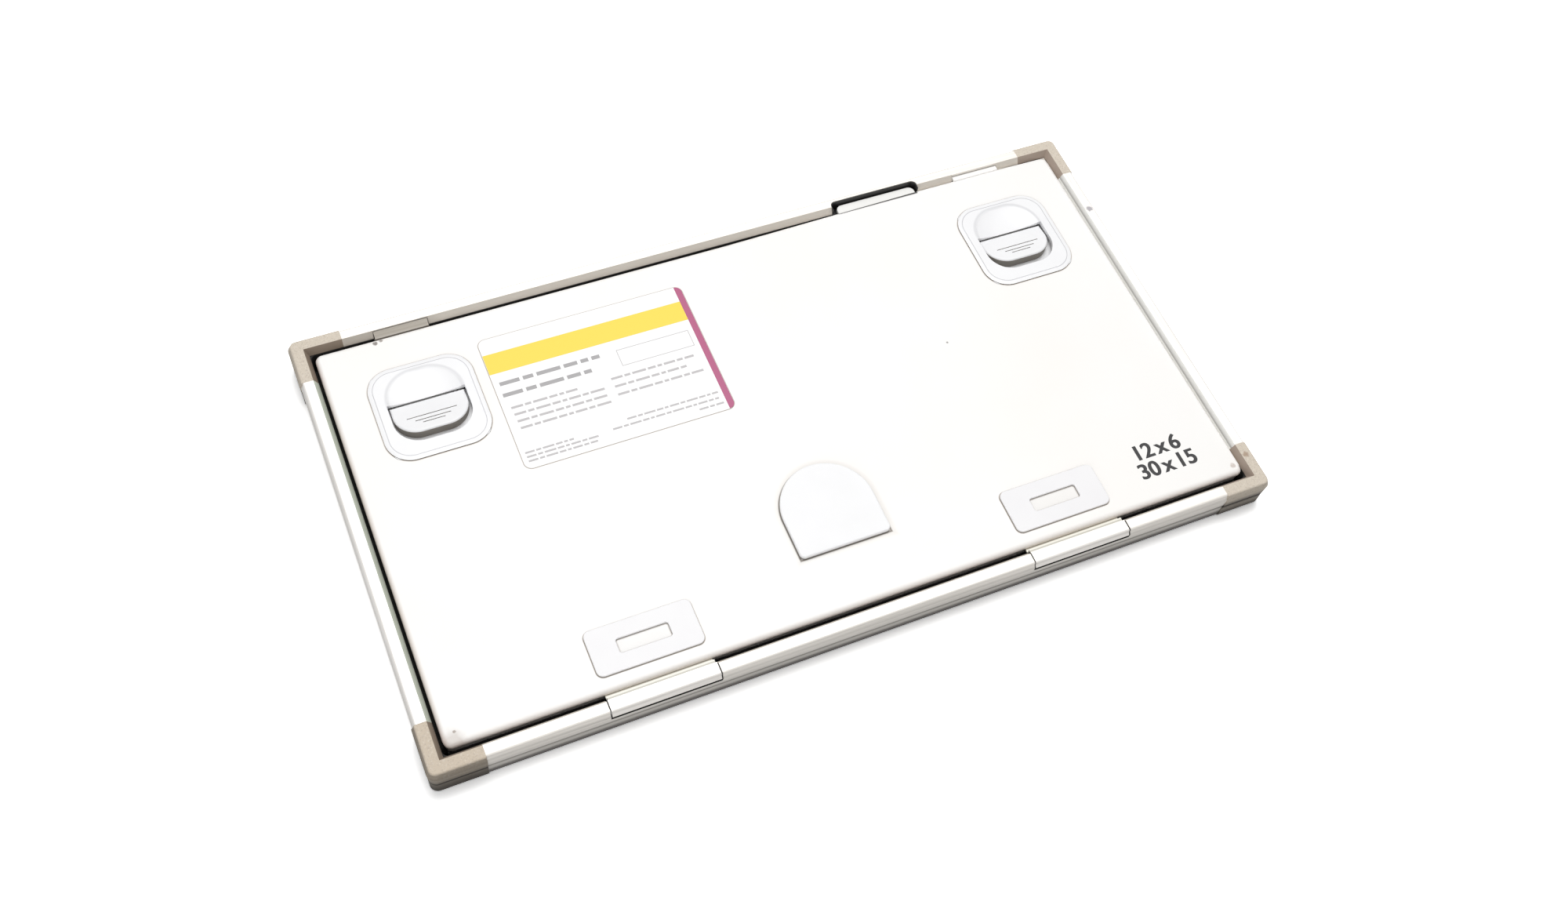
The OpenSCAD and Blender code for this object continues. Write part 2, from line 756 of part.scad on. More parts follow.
module lid_pan() {
    r = lid_corner_r;
    w = lid_x1 - lid_x0 - 2 * r;
    d = lid_y1 - lid_y0 - 2 * r;
    translate([lid_x0 + r, lid_y0 + r, lid_under]) cube([w, d, sheet_t]);
    translate([lid_x0 + r, lid_y0, 0]) lid_run(w);
    translate([lid_x1 - r, lid_y1, 0]) rotate([0, 0, 180]) lid_run(w);
    translate([lid_x1, lid_y0 + r, 0]) rotate([0, 0, 90]) lid_run(d);
    translate([lid_x0, lid_y1 - r, 0]) rotate([0, 0, -90]) lid_run(d);
    translate([lid_x0 + r, lid_y0 + r, 0]) lid_corner();
    translate([lid_x1 - r, lid_y0 + r, 0]) rotate([0, 0, 90]) lid_corner();
    translate([lid_x1 - r, lid_y1 - r, 0]) rotate([0, 0, 180]) lid_corner();
    translate([lid_x0 + r, lid_y1 - r, 0]) rotate([0, 0, 270]) lid_corner();
}

// Lip of the lid that covers the right bolt where it leaves the lid
module hood_level(x) {
    translate([x - hood_w / 2, lid_y1 - hood_root, lid_under])
        cube([hood_w, hood_out - lid_y1 + hood_root, hood_top - lid_under]);
}

// The same over the left bolt, bent up to carry on the slope of the rim
module hood_sloped(x) {
    translate([x - hood_w / 2, 0, 0]) rotate([90, 0, 90]) linear_extrude(hood_w)
        polygon([[lid_y1 - hood_root, lid_under], [hood_out, lid_under], [hood_out, hood_rise],
                 [lid_y1 + hood_foot, hood_low], [lid_y1 - hood_root, hood_low]]);
}

module latch_openings(x) {
    translate([x, latch_y, lid_under - over]) linear_extrude(sheet_t + 2 * over)
        polygon(centred_rect(skirt_w, skirt_d, skirt_r, -clear_fit));
    translate([x - bolt_w / 2 - clear_move, lid_y1 - 2 * lid_in, bolt_z - clear_move])
        cube([bolt_w + 2 * clear_move, 4 * lid_in, lid_under - bolt_z + clear_move]);
}

module lid_shell() {
    color("#f7f2ec") difference() {
        union() {
            lid_pan();
            hood_sloped(latch_left_x);
            hood_level(latch_right_x);
        }
        latch_openings(latch_left_x);
        latch_openings(latch_right_x);
        for (side = [-1, 1]) {
            at_rivets(side) translate([0, 0, lid_under - over])
                cylinder(h = sheet_t + 2 * over, r = rivet_r + clear_seal, $fn = 32);
            translate([side * hinge_x - leaf_w / 2 - clear_fit, lid_y0 - over, leaf_low - clear_fit])
                cube([leaf_w + 2 * clear_fit, 2 * over + lid_in, leaf_t + 2 * clear_fit]);
        }
        translate([pad_x, 0, pad_z]) linear_extrude(pad_sink + over)
            polygon(arch_outline(pad_r + pad_ring, pad_side + pad_ring, pad_y0 - pad_ring));
        translate([tab_x - tab_w / 2 - clear_seal, tab_y0 - clear_seal, tab_top - tab_t - clear_seal])
            cube([tab_w + 2 * clear_seal, 2 * lid_in, tab_t + 2 * clear_seal]);
    }
}

module lid_tray() {
    in_w = lid_in + clear_fit;
    color("#c9ccce") {
        translate([0, 0, tray_z]) linear_extrude(tray_t)
            polygon(round_rect(lid_x0 + in_w, lid_y0 + in_w, lid_x1 - in_w, lid_y1 - in_w, tray_r));
        for (share = rib_places)
            translate([lid_x0 + rib_end, lid_y0 + share * (lid_y1 - lid_y0) - rib_w / 2, tray_top - eps])
                cube([lid_x1 - lid_x0 - 2 * rib_end, rib_w, lid_room - rib_gap + eps]);
    }
}

module lead_foil() {
    color("#6f7478") screen_sheet(foil_z, foil_t);
}

module pressure_foam() {
    color("#55585a") screen_sheet(foam_z, foil_z - foam_z);
}

module back_screen() {
    color("#f4f4ee") screen_sheet(back_z, screen_t);
}

module lift_tab() {
    color("#fbf9f6") translate([0, 0, tab_top - tab_t]) linear_extrude(tab_t)
        polygon(concat([[tab_x - tab_w / 2, tab_y0], [tab_x + tab_w / 2, tab_y0]],
            arc(tab_x + tab_w / 2 - tab_r, tab_y1 - tab_r, tab_r, 0, 90),
            arc(tab_x - tab_w / 2 + tab_r, tab_y1 - tab_r, tab_r, 90, 180)));
}

module lid_pad() {
    color("#f0f0f2") translate([pad_x, 0, pad_z]) linear_extrude(frame_t - pad_z)
        polygon(arch_outline(pad_r, pad_side, pad_y0));
}

module label() {
    x0 = lid_x0 + label_x;
    y1 = lid_y1 - label_y;
    color("#ffffff") translate([0, 0, lid_top]) linear_extrude(label_t)
        polygon(round_rect(x0, y1 - label_d, x0 + label_w, y1, label_r));
}

// ---- Latches, each about the middle of its bezel ----

module latch_bezel(x) {
    color("#f2f2f4") translate([x, latch_y, 0]) difference() {
        union() {
            translate([0, 0, lid_top]) linear_extrude(bezel_t / 2)
                polygon(centred_rect(bezel_w, bezel_d, bezel_r, 0, 14));
            translate([0, 0, lid_top + bezel_t / 2]) linear_extrude(bezel_t / 2)
                polygon(centred_rect(bezel_w, bezel_d, bezel_r, bezel_rim, 14));
            translate([0, 0, body_z]) linear_extrude(lid_top - body_z)
                polygon(centred_rect(skirt_w, skirt_d, skirt_r));
            translate([0, 0, tray_top]) linear_extrude(body_z - tray_top) difference() {
                polygon(centred_rect(skirt_w, skirt_d, skirt_r));
                polygon(centred_rect(skirt_w, skirt_d, skirt_r, skirt_wall));
            }
            for (i = [-1, 1]) translate([i * spring_x - spring_r, lug_y, base_z])
                cube([2 * spring_r, lug_t, body_z - base_z + eps]);
        }
        translate([0, 0, body_z - over]) linear_extrude(frame_t - body_z + over)
            polygon(d_outline(slot_w, slot_near, slot_far, slot_r));
        scoop_cut();
        translate([-bolt_w / 2 - clear_move, skirt_d / 2 - skirt_wall - over, bolt_z - clear_move])
            cube([bolt_w + 2 * clear_move, skirt_wall + 2 * over, body_z - bolt_z + clear_move]);
    }
}

// Half-round scoop whose floor falls towards the slot
module scoop_cut() {
    scoop_r = slot_w / 2 - scoop_side;
    start = slot_far - over;
    flat_end = slot_far + (scoop_r - scoop_back) * scoop_flat;
    end = slot_far + scoop_r - scoop_back;
    floor = bezel_top - scoop_depth;
    intersection() {
        translate([0, 0, body_z]) linear_extrude(frame_t - body_z) intersection() {
            translate([0, slot_far - scoop_back]) circle(scoop_r, $fn = 96);
            translate([-scoop_r, start]) square([2 * scoop_r, scoop_r + over]);
        }
        translate([-scoop_r, 0, 0]) rotate([90, 0, 90]) linear_extrude(2 * scoop_r)
            polygon([[start, floor], [flat_end, floor], [end, bezel_top],
                     [end, bezel_top + over], [start, bezel_top + over]]);
    }
}

module latch_bezel_left() {
    latch_bezel(latch_left_x);
}

module latch_bezel_right() {
    latch_bezel(latch_right_x);
}

// Side view of the button: low at the scoop, tall at the end that the finger leaves
module button_profile() {
    polygon(concat([[button_far, floor_z - eps], [button_far, button_tip]],
        arc(button_near + button_round, button_top - button_round, button_round, 90, 180, 4),
        [[button_near, floor_z - eps]]));
}

module latch_slide(x) {
    slope = atan((button_top - button_tip) / button_d);
    color("#f2f2f4") translate([x, latch_y, 0]) {
        difference() {
            translate([0, 0, base_z]) linear_extrude(base_t)
                polygon(round_rect(-base_w / 2, base_near, base_w / 2, base_far, base_r));
            for (i = [-1, 1])
                translate([i * spring_x - spring_r - lug_play, lug_y - lug_play, base_z - over])
                    cube([2 * (spring_r + lug_play), spring_y1 - lug_y + lug_play, base_t + 2 * over]);
        }
        intersection() {
            translate([0, 0, floor_z - eps]) linear_extrude(frame_t)
                polygon(d_outline(slot_w - 2 * side_gap, button_near, button_far, slot_r - side_gap));
            translate([-slot_w / 2, 0, 0]) rotate([90, 0, 90]) linear_extrude(slot_w) button_profile();
        }
        for (ridge = ridges)
            translate([-ridge[0] / 2, button_far - ridge[1] * button_d,
                button_tip + ridge[1] * (button_top - button_tip)])
                rotate([-slope, 0, 0]) translate([0, -ridge_w / 2, -ridge_sink])
                    cube([ridge[0], ridge_w, ridge_sink + ridge_h]);
        translate([-bolt_w / 2, bolt_y0, floor_z - eps])
            cube([bolt_w, base_far - bolt_y0, bolt_z - floor_z + eps]);
        for (i = [-1, 1]) translate([i * post_x, (bolt_y0 + base_far) / 2, floor_z - eps])
            cylinder(h = bolt_top - floor_z + eps, r = post_r, $fn = 32);
    }
}

module latch_slide_left() {
    latch_slide(latch_left_x);
}

module latch_slide_right() {
    latch_slide(latch_right_x);
}

module latch_bolt(x) {
    color("#f6f5f1") translate([x, latch_y, 0]) difference() {
        translate([0, 0, bolt_z]) linear_extrude(bolt_t)
            polygon(concat([[-bolt_w / 2, bolt_y0], [bolt_w / 2, bolt_y0]],
                arc(bolt_w / 2 - bolt_r, bolt_tip - bolt_r, bolt_r, 0, 90),
                arc(-bolt_w / 2 + bolt_r, bolt_tip - bolt_r, bolt_r, 90, 180)));
        for (i = [-1, 1]) translate([i * post_x, (bolt_y0 + base_far) / 2, bolt_z - over])
            cylinder(h = bolt_t + 2 * over, r = post_r + clear_seal, $fn = 32);
    }
}

module latch_bolt_left() {
    latch_bolt(latch_left_x);
}

module latch_bolt_right() {
    latch_bolt(latch_right_x);
}

// A coil along +Y from the origin, swept ring by ring
module coil(length) {
    sides = 6;
    steps = 12 * spring_turns;
    mid_r = spring_r - wire_r;
    travel = length - 2 * wire_r;
    points = [for (i = [0:steps]) for (j = [0:sides - 1])
        let (a = 360 * i / 12, b = 360 * j / sides, r = mid_r + wire_r * cos(b))
        [r * cos(a), wire_r + travel * i / steps + wire_r * sin(b), r * sin(a)]];
    body = [for (i = [0:steps - 1]) for (j = [0:sides - 1]) let (k = (j + 1) % sides)
        [i * sides + j, i * sides + k, (i + 1) * sides + k, (i + 1) * sides + j]];
    ends = [[for (j = [0:sides - 1]) sides - 1 - j], [for (j = [0:sides - 1]) steps * sides + j]];
    polyhedron(points, concat(body, ends));
}

module latch_springs(x) {
    color("#9a9da1") for (i = [-1, 1])
        translate([x + i * spring_x, latch_y + spring_y0 + clear_seal, spring_z])
            coil(spring_y1 - spring_y0 - 2 * clear_seal);
}

module latch_springs_left() {
    latch_springs(latch_left_x);
}

module latch_springs_right() {
    latch_springs(latch_right_x);
}

rail_hinge_side();
rail_latch_side();
rail_left();
rail_right();
corner_hinge_left();
corner_hinge_right();
corner_latch_left();
corner_latch_right();
front_panel();
front_screen();
seal_hinge_side();
seal_latch_side();
seal_left();
seal_right();
hinge_pin_left();
hinge_pin_right();
notch_liner();
lid_shell();
lid_tray();
lead_foil();
pressure_foam();
back_screen();
hinge_cap_left();
hinge_cap_right();
hinge_leaf_left();
hinge_leaf_right();
hinge_plate_left();
hinge_plate_right();
hinge_rivets_left();
hinge_rivets_right();
latch_bezel_left();
latch_bezel_right();
latch_springs_left();
latch_springs_right();
latch_slide_left();
latch_slide_right();
latch_bolt_left();
latch_bolt_right();
lift_tab();
lid_pad();
label();
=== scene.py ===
"""X-ray film cassette: finishes, softened edges and printed details over its packed construction.

Every length that carries a name is in millimetres, and becomes metres where a mesh is made.
"""

import itertools
import logging
import math
from collections.abc import Callable, Iterable, Sequence
from dataclasses import dataclass, field, replace
from enum import Enum

import bmesh
import bpy
from bmesh.types import BMEdge, BMesh, BMVert
from bpy.types import Material, Mesh, Node, NodeSocket, NodeTree, Object, Scene
from mathutils import Euler, Matrix, Vector


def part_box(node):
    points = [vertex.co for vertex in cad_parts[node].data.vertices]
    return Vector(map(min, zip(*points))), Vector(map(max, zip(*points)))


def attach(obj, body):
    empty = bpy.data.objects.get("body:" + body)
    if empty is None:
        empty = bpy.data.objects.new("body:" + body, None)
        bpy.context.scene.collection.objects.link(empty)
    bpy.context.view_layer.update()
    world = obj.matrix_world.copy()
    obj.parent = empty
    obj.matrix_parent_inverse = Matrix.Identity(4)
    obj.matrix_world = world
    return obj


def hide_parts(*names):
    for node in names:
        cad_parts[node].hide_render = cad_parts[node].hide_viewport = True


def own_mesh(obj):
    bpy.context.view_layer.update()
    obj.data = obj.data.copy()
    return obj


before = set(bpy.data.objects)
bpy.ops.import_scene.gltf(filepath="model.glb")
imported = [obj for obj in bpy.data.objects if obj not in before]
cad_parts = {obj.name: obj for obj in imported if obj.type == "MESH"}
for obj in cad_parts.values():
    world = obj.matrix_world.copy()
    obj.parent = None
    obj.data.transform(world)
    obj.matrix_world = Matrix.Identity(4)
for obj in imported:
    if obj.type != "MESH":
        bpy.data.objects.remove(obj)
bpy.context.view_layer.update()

Point = tuple[float, float]
Place = tuple[float, float, float]
Radii = dict[tuple[int, int], float]

LOG = logging.getLogger("cassette")
MM = 0.001
TOUCH = 2e-6          # metres within which two corners of a construction node are one
DOUBLE = 1e-4         # millimetres within which two corners of a new shape are one
LEVEL = 1e-3          # millimetres within which two corners are level
OVERCUT = 1.0         # millimetres by which a cutting shape stands proud of what it cuts
SHARP = 40.0          # degrees beyond which tools and handling break an edge
RIM = 20.0            # degrees beyond which an upper face's edge borders a side
FLAT_NODE = 0.5       # degrees within which faces of a construction node are one
FLAT_CUT = 0.3        # degrees within which faces of a carved shape are one
HAIR = 0.02           # millimetres, half the height of an outline that is only a line


class Body(str, Enum):
    """The rigid bodies that a piece can ride on."""

    FRAME = "frame"
    LID = "lid"
    LATCH_LEFT = "latch_left"
    LATCH_RIGHT = "latch_right"


class Side(str, Enum):
    """The two ends of the cassette."""

    LEFT = "left"
    RIGHT = "right"

    @property
    def latch(self) -> Body:
        """The body of the latch at this end."""
        return Body.LATCH_LEFT if self is Side.LEFT else Body.LATCH_RIGHT


class Run(Enum):
    """The way that a drawn surface's lines run."""

    ALONG_X = (0.02, 1.0, 1.0)
    ALONG_Y = (1.0, 0.02, 1.0)


def linear(hex_colour: str) -> tuple[float, float, float, float]:
    """Turns an sRGB hex colour to linear light.

    Args:
        hex_colour: six hex digits, with or without a leading hash.

    Returns:
        Red, green, blue and an alpha of one.
    """
    digits = hex_colour.lstrip("#")
    channels = [int(digits[i:i + 2], 16) / 255 for i in (0, 2, 4)]
    red, green, blue = [
        c / 12.92 if c <= 0.04045 else ((c + 0.055) / 1.055) ** 2.4 for c in channels
    ]
    return red, green, blue, 1.0


def per_mm(size: float) -> float:
    """The texture scale at which one feature measures this many millimetres."""
    return 1 / (size * MM)


def add_node(
    tree: NodeTree, kind: str, settings: dict | None = None, links: dict | None = None
) -> Node:
    """Adds one node with its settings and links.

    Args:
        tree: the node tree that gets the node.
        kind: the node's class name, after ShaderNode.
        settings: values by property name, input name or input number.
        links: the output sockets that feed the node, by input name or number.

    Returns:
        The new node.
    """
    node = tree.nodes.new(f"ShaderNode{kind}")
    for key, value in (settings or {}).items():
        if isinstance(key, str) and key in node.bl_rna.properties:
            setattr(node, key, value)
        else:
            node.inputs[key].default_value = value
    for key, socket in (links or {}).items():
        tree.links.new(socket, node.inputs[key])
    return node


# ---------------------------------------------------------------------------------------------
# Finishes
# ---------------------------------------------------------------------------------------------


@dataclass(frozen=True)
class Stain:
    """A small mark of handling: a chip, a rub or a drop of grime."""

    place: Place
    radius: float
    colour: str = "#6B5546"
    strength: float = 0.8
    grain: float = 0.5
    fringe: Point = (0.12, 0.3)


@dataclass(frozen=True)
class PaintedLine:
    """Painted shade along the round-cornered outline of what stands on a sheet; a pale one is
    painted light.
    """

    middle: Point
    half: Point
    radius: float
    width: float = 0.55
    colour: str = "#85786A"
    strength: float = 1.0
    full: float = 0.3

    def beyond(self, tree: NodeTree, place: NodeSocket) -> NodeSocket:
        """Measures how far a point lies outside the outline.

        Args:
            tree: the material's node tree.
            place: the position in the object's own space.

        Returns:
            The socket that carries the distance in metres, negative inside.
        """
        middle = (self.middle[0] * MM, self.middle[1] * MM, 0.0)
        core = ((self.half[0] - self.radius) * MM, (self.half[1] - self.radius) * MM, 1.0)
        offset = add_node(tree, "VectorMath", {"operation": "SUBTRACT", 1: middle}, {0: place})
        folded = add_node(tree, "VectorMath", {"operation": "ABSOLUTE"}, {0: offset.outputs[0]})
        past = add_node(
            tree, "VectorMath", {"operation": "SUBTRACT", 1: core}, {0: folded.outputs[0]}
        )
        outside = add_node(
            tree, "VectorMath", {"operation": "MAXIMUM", 1: (0, 0, 0)}, {0: past.outputs[0]}
        )
        reach = add_node(tree, "VectorMath", {"operation": "LENGTH"}, {0: outside.outputs[0]})
        less = add_node(
            tree, "Math", {"operation": "SUBTRACT", 1: self.radius * MM},
            {0: reach.outputs["Value"]},
        )
        return less.outputs[0]


@dataclass(frozen=True)
class ArchPaintedLine(PaintedLine):
    """The same along an outline with a straight near edge and a half-round far end.

    The middle is the centre of the arch, and half holds the arch's radius and the centre's
    distance from the near edge.
    """

    def beyond(self, tree: NodeTree, place: NodeSocket) -> NodeSocket:
        """Measures how far a point lies outside the outline; see Seam.beyond."""
        middle = (self.middle[0] * MM, self.middle[1] * MM, 0.0)
        offset = add_node(tree, "VectorMath", {"operation": "SUBTRACT", 1: middle}, {0: place})
        parts = add_node(tree, "SeparateXYZ", {}, {0: offset.outputs[0]})
        far = add_node(tree, "Math", {"operation": "MAXIMUM", 1: 0.0}, {0: parts.outputs["Y"]})
        bow = add_node(tree, "CombineXYZ", {}, {"X": parts.outputs["X"], "Y": far.outputs[0]})
        reach = add_node(tree, "VectorMath", {"operation": "LENGTH"}, {0: bow.outputs[0]})
        side = add_node(
            tree, "Math", {"operation": "SUBTRACT", 1: self.half[0] * MM},
            {0: reach.outputs["Value"]},
        )
        near = add_node(
            tree, "Math", {"operation": "MULTIPLY_ADD", 1: -1.0, 2: -self.half[1] * MM},
            {0: parts.outputs["Y"]},
        )
        most = add_node(
            tree, "Math", {"operation": "MAXIMUM"}, {0: side.outputs[0], 1: near.outputs[0]}
        )
        return most.outputs[0]


@dataclass(frozen=True)
class FrontPaintedLine(PaintedLine):
    """The same round an outline on an upright face: the middle and the half hold X and Z."""

    def beyond(self, tree: NodeTree, place: NodeSocket) -> NodeSocket:
        """Measures how far a point lies outside the outline; see Seam.beyond."""
        parts = add_node(tree, "SeparateXYZ", {}, {0: place})
        turned = add_node(
            tree, "CombineXYZ", {}, {"X": parts.outputs["X"], "Y": parts.outputs["Z"]}
        )
        return super().beyond(tree, turned.outputs[0])


@dataclass(frozen=True)
class Finish:
    """A surface of one colour; each kind of finish adds its own detail."""

    name: str
    colour: str
    roughness: float = 0.5
    metallic: float = 0.0
    stains: tuple[Stain, ...] = ()
    painted_lines: tuple[PaintedLine, ...] = ()
    # Painted shade by height: pairs of height and share, and the shade's colour.
    height_shade: tuple[Point, ...] = ()
    height_shade_colour: str = "#2A251F"

    def material(self) -> Material:
        """Builds the material.

        Returns:
            A material whose colour, roughness and relief come from its nodes.
        """
        found = bpy.data.materials.get(self.name)
        if found:
            return found
        material = bpy.data.materials.new(self.name)
        material.use_nodes = True
        tree = material.node_tree
        shader = tree.nodes["Principled BSDF"]
        shader.inputs["Metallic"].default_value = self.metallic
        shader.inputs["Roughness"].default_value = self.roughness
        shader.inputs["Base Color"].default_value = linear(self.colour)
        place = add_node(tree, "TexCoord").outputs["Object"]
        colour = self.detail(tree, shader, place)
        for stain in self.stains:
            colour = self.marked(tree, place, colour, stain)
        for painted_line in self.painted_lines:
            colour = self.lay_painted_line(tree, place, colour, painted_line)
        if self.height_shade:
            colour = self.height_shaded(tree, place, colour)
        tree.links.new(colour, shader.inputs["Base Color"])
        return material

    def detail(self, tree: NodeTree, shader: Node, place: NodeSocket) -> NodeSocket:
        """Adds this finish's own nodes.

        Args:
            tree: the material's node tree.
            shader: the Principled shader.
            place: the position in the object's own space, in metres.

        Returns:
            The socket that carries the colour.
        """
        raise NotImplementedError

    def mottled(
        self, tree: NodeTree, place: NodeSocket, other: str, size: float,
        low: float = 0.35, high: float = 0.7, amount: float = 1.0,
    ) -> NodeSocket:
        """Mixes the finish's colour with another by a noise.

        Args:
            tree: the material's node tree.
            place: the position that the noise reads.
            other: the second colour, in hex.
            size: the size of one patch, in millimetres.
            low: noise value at which the second colour begins.
            high: noise value at which it is full.
            amount: share of the second colour where it is full.

        Returns:
            The socket that carries the mixed colour.
        """
        noise = add_node(
            tree, "TexNoise", {"Scale": per_mm(size), "Detail": 3.0}, {"Vector": place}
        )
        share = add_node(
            tree, "MapRange", {1: low, 2: high, 3: 0.0, 4: amount}, {0: noise.outputs["Fac"]}
        )
        mix = add_node(
            tree, "MixRGB", {1: linear(self.colour), 2: linear(other)}, {0: share.outputs[0]}
        )
        return mix.outputs[0]

    def relief(self, tree: NodeTree, shader: Node, height: NodeSocket, depth: float) -> None:
        """Feeds a height to the shader as a bump.

        Args:
            tree: the material's node tree.
            shader: the Principled shader.
            height: the socket that carries the height, from 0 to 1.
            depth: the relief's depth in millimetres.
        """
        bump = add_node(tree, "Bump", {"Strength": 1.0, "Distance": depth * MM}, {"Height": height})
        tree.links.new(bump.outputs["Normal"], shader.inputs["Normal"])

    def marked(
        self, tree: NodeTree, place: NodeSocket, colour: NodeSocket, stain: Stain
    ) -> NodeSocket:
        """Lays one ragged stain over a colour.

        Args:
            tree: the material's node tree.
            place: the position in the object's own space.
            colour: the colour so far.
            stain: the mark to lay over it.

        Returns:
            The socket that carries the marked colour.
        """
        centre = tuple(v * MM for v in stain.place)
        reach = add_node(tree, "VectorMath", {"operation": "DISTANCE", 1: centre}, {0: place})
        near = add_node(
            tree, "MapRange", {1: stain.radius * MM, 2: 0.0, 3: 0.0, 4: 1.0},
            {0: reach.outputs["Value"]},
        )
        ragged = add_node(
            tree, "TexNoise", {"Scale": per_mm(stain.radius * stain.grain)}, {"Vector": place}
        )
        both = add_node(
            tree, "Math", {"operation": "MULTIPLY"}, {0: near.outputs[0], 1: ragged.outputs["Fac"]}
        )
        share = add_node(
            tree, "MapRange", {1: stain.fringe[0], 2: stain.fringe[1], 3: 0.0, 4: stain.strength},
            {0: both.outputs[0]},
        )
        mix = add_node(tree, "MixRGB", {2: linear(stain.colour)}, {0: share.outputs[0], 1: colour})
        return mix.outputs[0]

    def height_shaded(self, tree: NodeTree, place: NodeSocket, colour: NodeSocket) -> NodeSocket:
        """Lays painted shade over a colour by height, as in grooves and at the foot.

        Args:
            tree: the material's node tree.
            place: the position in the object's own space.
            colour: the colour so far.

        Returns:
            The socket that carries the marked colour.
        """
        top = self.height_shade[-1][0]
        parts = add_node(tree, "SeparateXYZ", {}, {0: place})
        height = add_node(
            tree, "MapRange", {1: 0.0, 2: top * MM, 3: 0.0, 4: 1.0}, {0: parts.outputs["Z"]}
        )
        shares = add_node(tree, "ValToRGB", {}, {0: height.outputs[0]})
        stops = shares.color_ramp.elements
        for index, (level, share) in enumerate(self.height_shade):
            stop = stops[index] if index < 2 else stops.new(level / top)
            stop.position = level / top
            stop.color = (share, share, share, 1.0)
        mix = add_node(
            tree, "MixRGB", {2: linear(self.height_shade_colour)}, {0: shares.outputs["Color"], 1: colour}
        )
        return mix.outputs[0]

    def lay_painted_line(
        self, tree: NodeTree, place: NodeSocket, colour: NodeSocket, painted_line: PaintedLine
    ) -> NodeSocket:
        """Draws one line of painted shade, or of painted light, just outside an outline.

        Args:
            tree: the material's node tree.
            place: the position in the object's own space.
            colour: the colour so far.
            painted_line: the outline and the look of its line.

        Returns:
            The socket that carries the marked colour.
        """
        beyond = painted_line.beyond(tree, place)
        width = painted_line.width * MM
        rise = add_node(tree, "MapRange", {1: -width, 2: 0.0, 3: 0.0, 4: 1.0}, {0: beyond})
        fall = add_node(
            tree, "MapRange", {1: width * painted_line.full, 2: width, 3: painted_line.strength, 4: 0.0},
            {0: beyond},
        )
        share = add_node(
            tree, "Math", {"operation": "MULTIPLY"}, {0: rise.outputs[0], 1: fall.outputs[0]}
        )
        mix = add_node(tree, "MixRGB", {2: linear(painted_line.colour)}, {0: share.outputs[0], 1: colour})
        return mix.outputs[0]


@dataclass(frozen=True)
class SatinEnamel(Finish):
    """Baked enamel on sheet: a faint orange peel, uneven warmth and a few specks of grime."""

    warm: str = "#FBF6F0"
    peel: float = 0.7
    speck_spacing: float = 31.0
    speck_size: float = 0.3
    speck_core: float = 0.4
    speck_colour: str = "#8C8278"
    speck_strength: float = 0.5
    depth: float = 0.012

    def detail(self, tree: NodeTree, shader: Node, place: NodeSocket) -> NodeSocket:
        """Adds uneven warmth, specks and orange peel; see Finish.detail."""
        base = self.mottled(tree, place, self.warm, size=70.0, low=0.4, high=0.75, amount=0.5)
        cells = add_node(
            tree, "TexVoronoi", {"Scale": per_mm(self.speck_spacing)}, {"Vector": place}
        )
        limit = self.speck_size / self.speck_spacing
        dots = add_node(
            tree, "MapRange", {1: limit, 2: limit * self.speck_core, 4: self.speck_strength},
            {0: cells.outputs["Distance"]},
        )
        specked = add_node(
            tree, "MixRGB", {2: linear(self.speck_colour)}, {0: dots.outputs[0], 1: base}
        )
        peel = add_node(
            tree, "TexNoise", {"Scale": per_mm(self.peel), "Detail": 2.0}, {"Vector": place}
        )
        self.relief(tree, shader, peel.outputs["Fac"], self.depth)
        return specked.outputs[0]


@dataclass(frozen=True)
class AnodisedAluminium(Finish):
    """Satin anodised extrusion: fine lines drawn along its length, drawn coarse enough to show."""

    run: Run = Run.ALONG_X
    line: float = 0.25
    shade: str = "#CFCBC4"
    sheen: float = 0.08
    depth: float = 0.006

    def detail(self, tree: NodeTree, shader: Node, place: NodeSocket) -> NodeSocket:
        """Adds drawn lines to colour, roughness and relief; see Finish.detail."""
        drawn = add_node(tree, "Mapping", {"Scale": self.run.value}, {"Vector": place})
        lines = add_node(
            tree, "TexNoise", {"Scale": per_mm(self.line), "Detail": 4.0},
            {"Vector": drawn.outputs[0]},
        )
        least, most = self.roughness - self.sheen, self.roughness + self.sheen
        gloss = add_node(
            tree, "MapRange", {1: 0.3, 2: 0.7, 3: least, 4: most}, {0: lines.outputs["Fac"]}
        )
        tree.links.new(gloss.outputs[0], shader.inputs["Roughness"])
        self.relief(tree, shader, lines.outputs["Fac"], self.depth)
        return self.mottled(
            tree, drawn.outputs[0], self.shade, size=self.line * 4, high=0.75, amount=0.5
        )


@dataclass(frozen=True)
class SpeckledNylon(Finish):
    """Glass-filled nylon moulding: taupe with dark and light grains and a dry, pebbled skin."""

    dark: str = "#AFA294"
    light: str = "#E8E0D4"
    grain: float = 0.55
    pale_grain: float = 1.7
    pale_range: Point = (0.55, 0.75)
    pale_amount: float = 0.6
    depth: float = 0.03

    def detail(self, tree: NodeTree, shader: Node, place: NodeSocket) -> NodeSocket:
        """Adds dark and light grains and a pebbled relief; see Finish.detail."""
        base = self.mottled(tree, place, self.dark, size=self.grain, low=0.52, amount=0.55)
        size = self.grain * self.pale_grain
        pale = add_node(tree, "TexNoise", {"Scale": per_mm(size), "Detail": 2.0}, {"Vector": place})
        low, high = self.pale_range
        share = add_node(
            tree, "MapRange", {1: low, 2: high, 3: 0.0, 4: self.pale_amount},
            {0: pale.outputs["Fac"]},
        )
        mix = add_node(tree, "MixRGB", {2: linear(self.light)}, {0: share.outputs[0], 1: base})
        self.relief(tree, shader, pale.outputs["Fac"], self.depth)
        return mix.outputs[0]


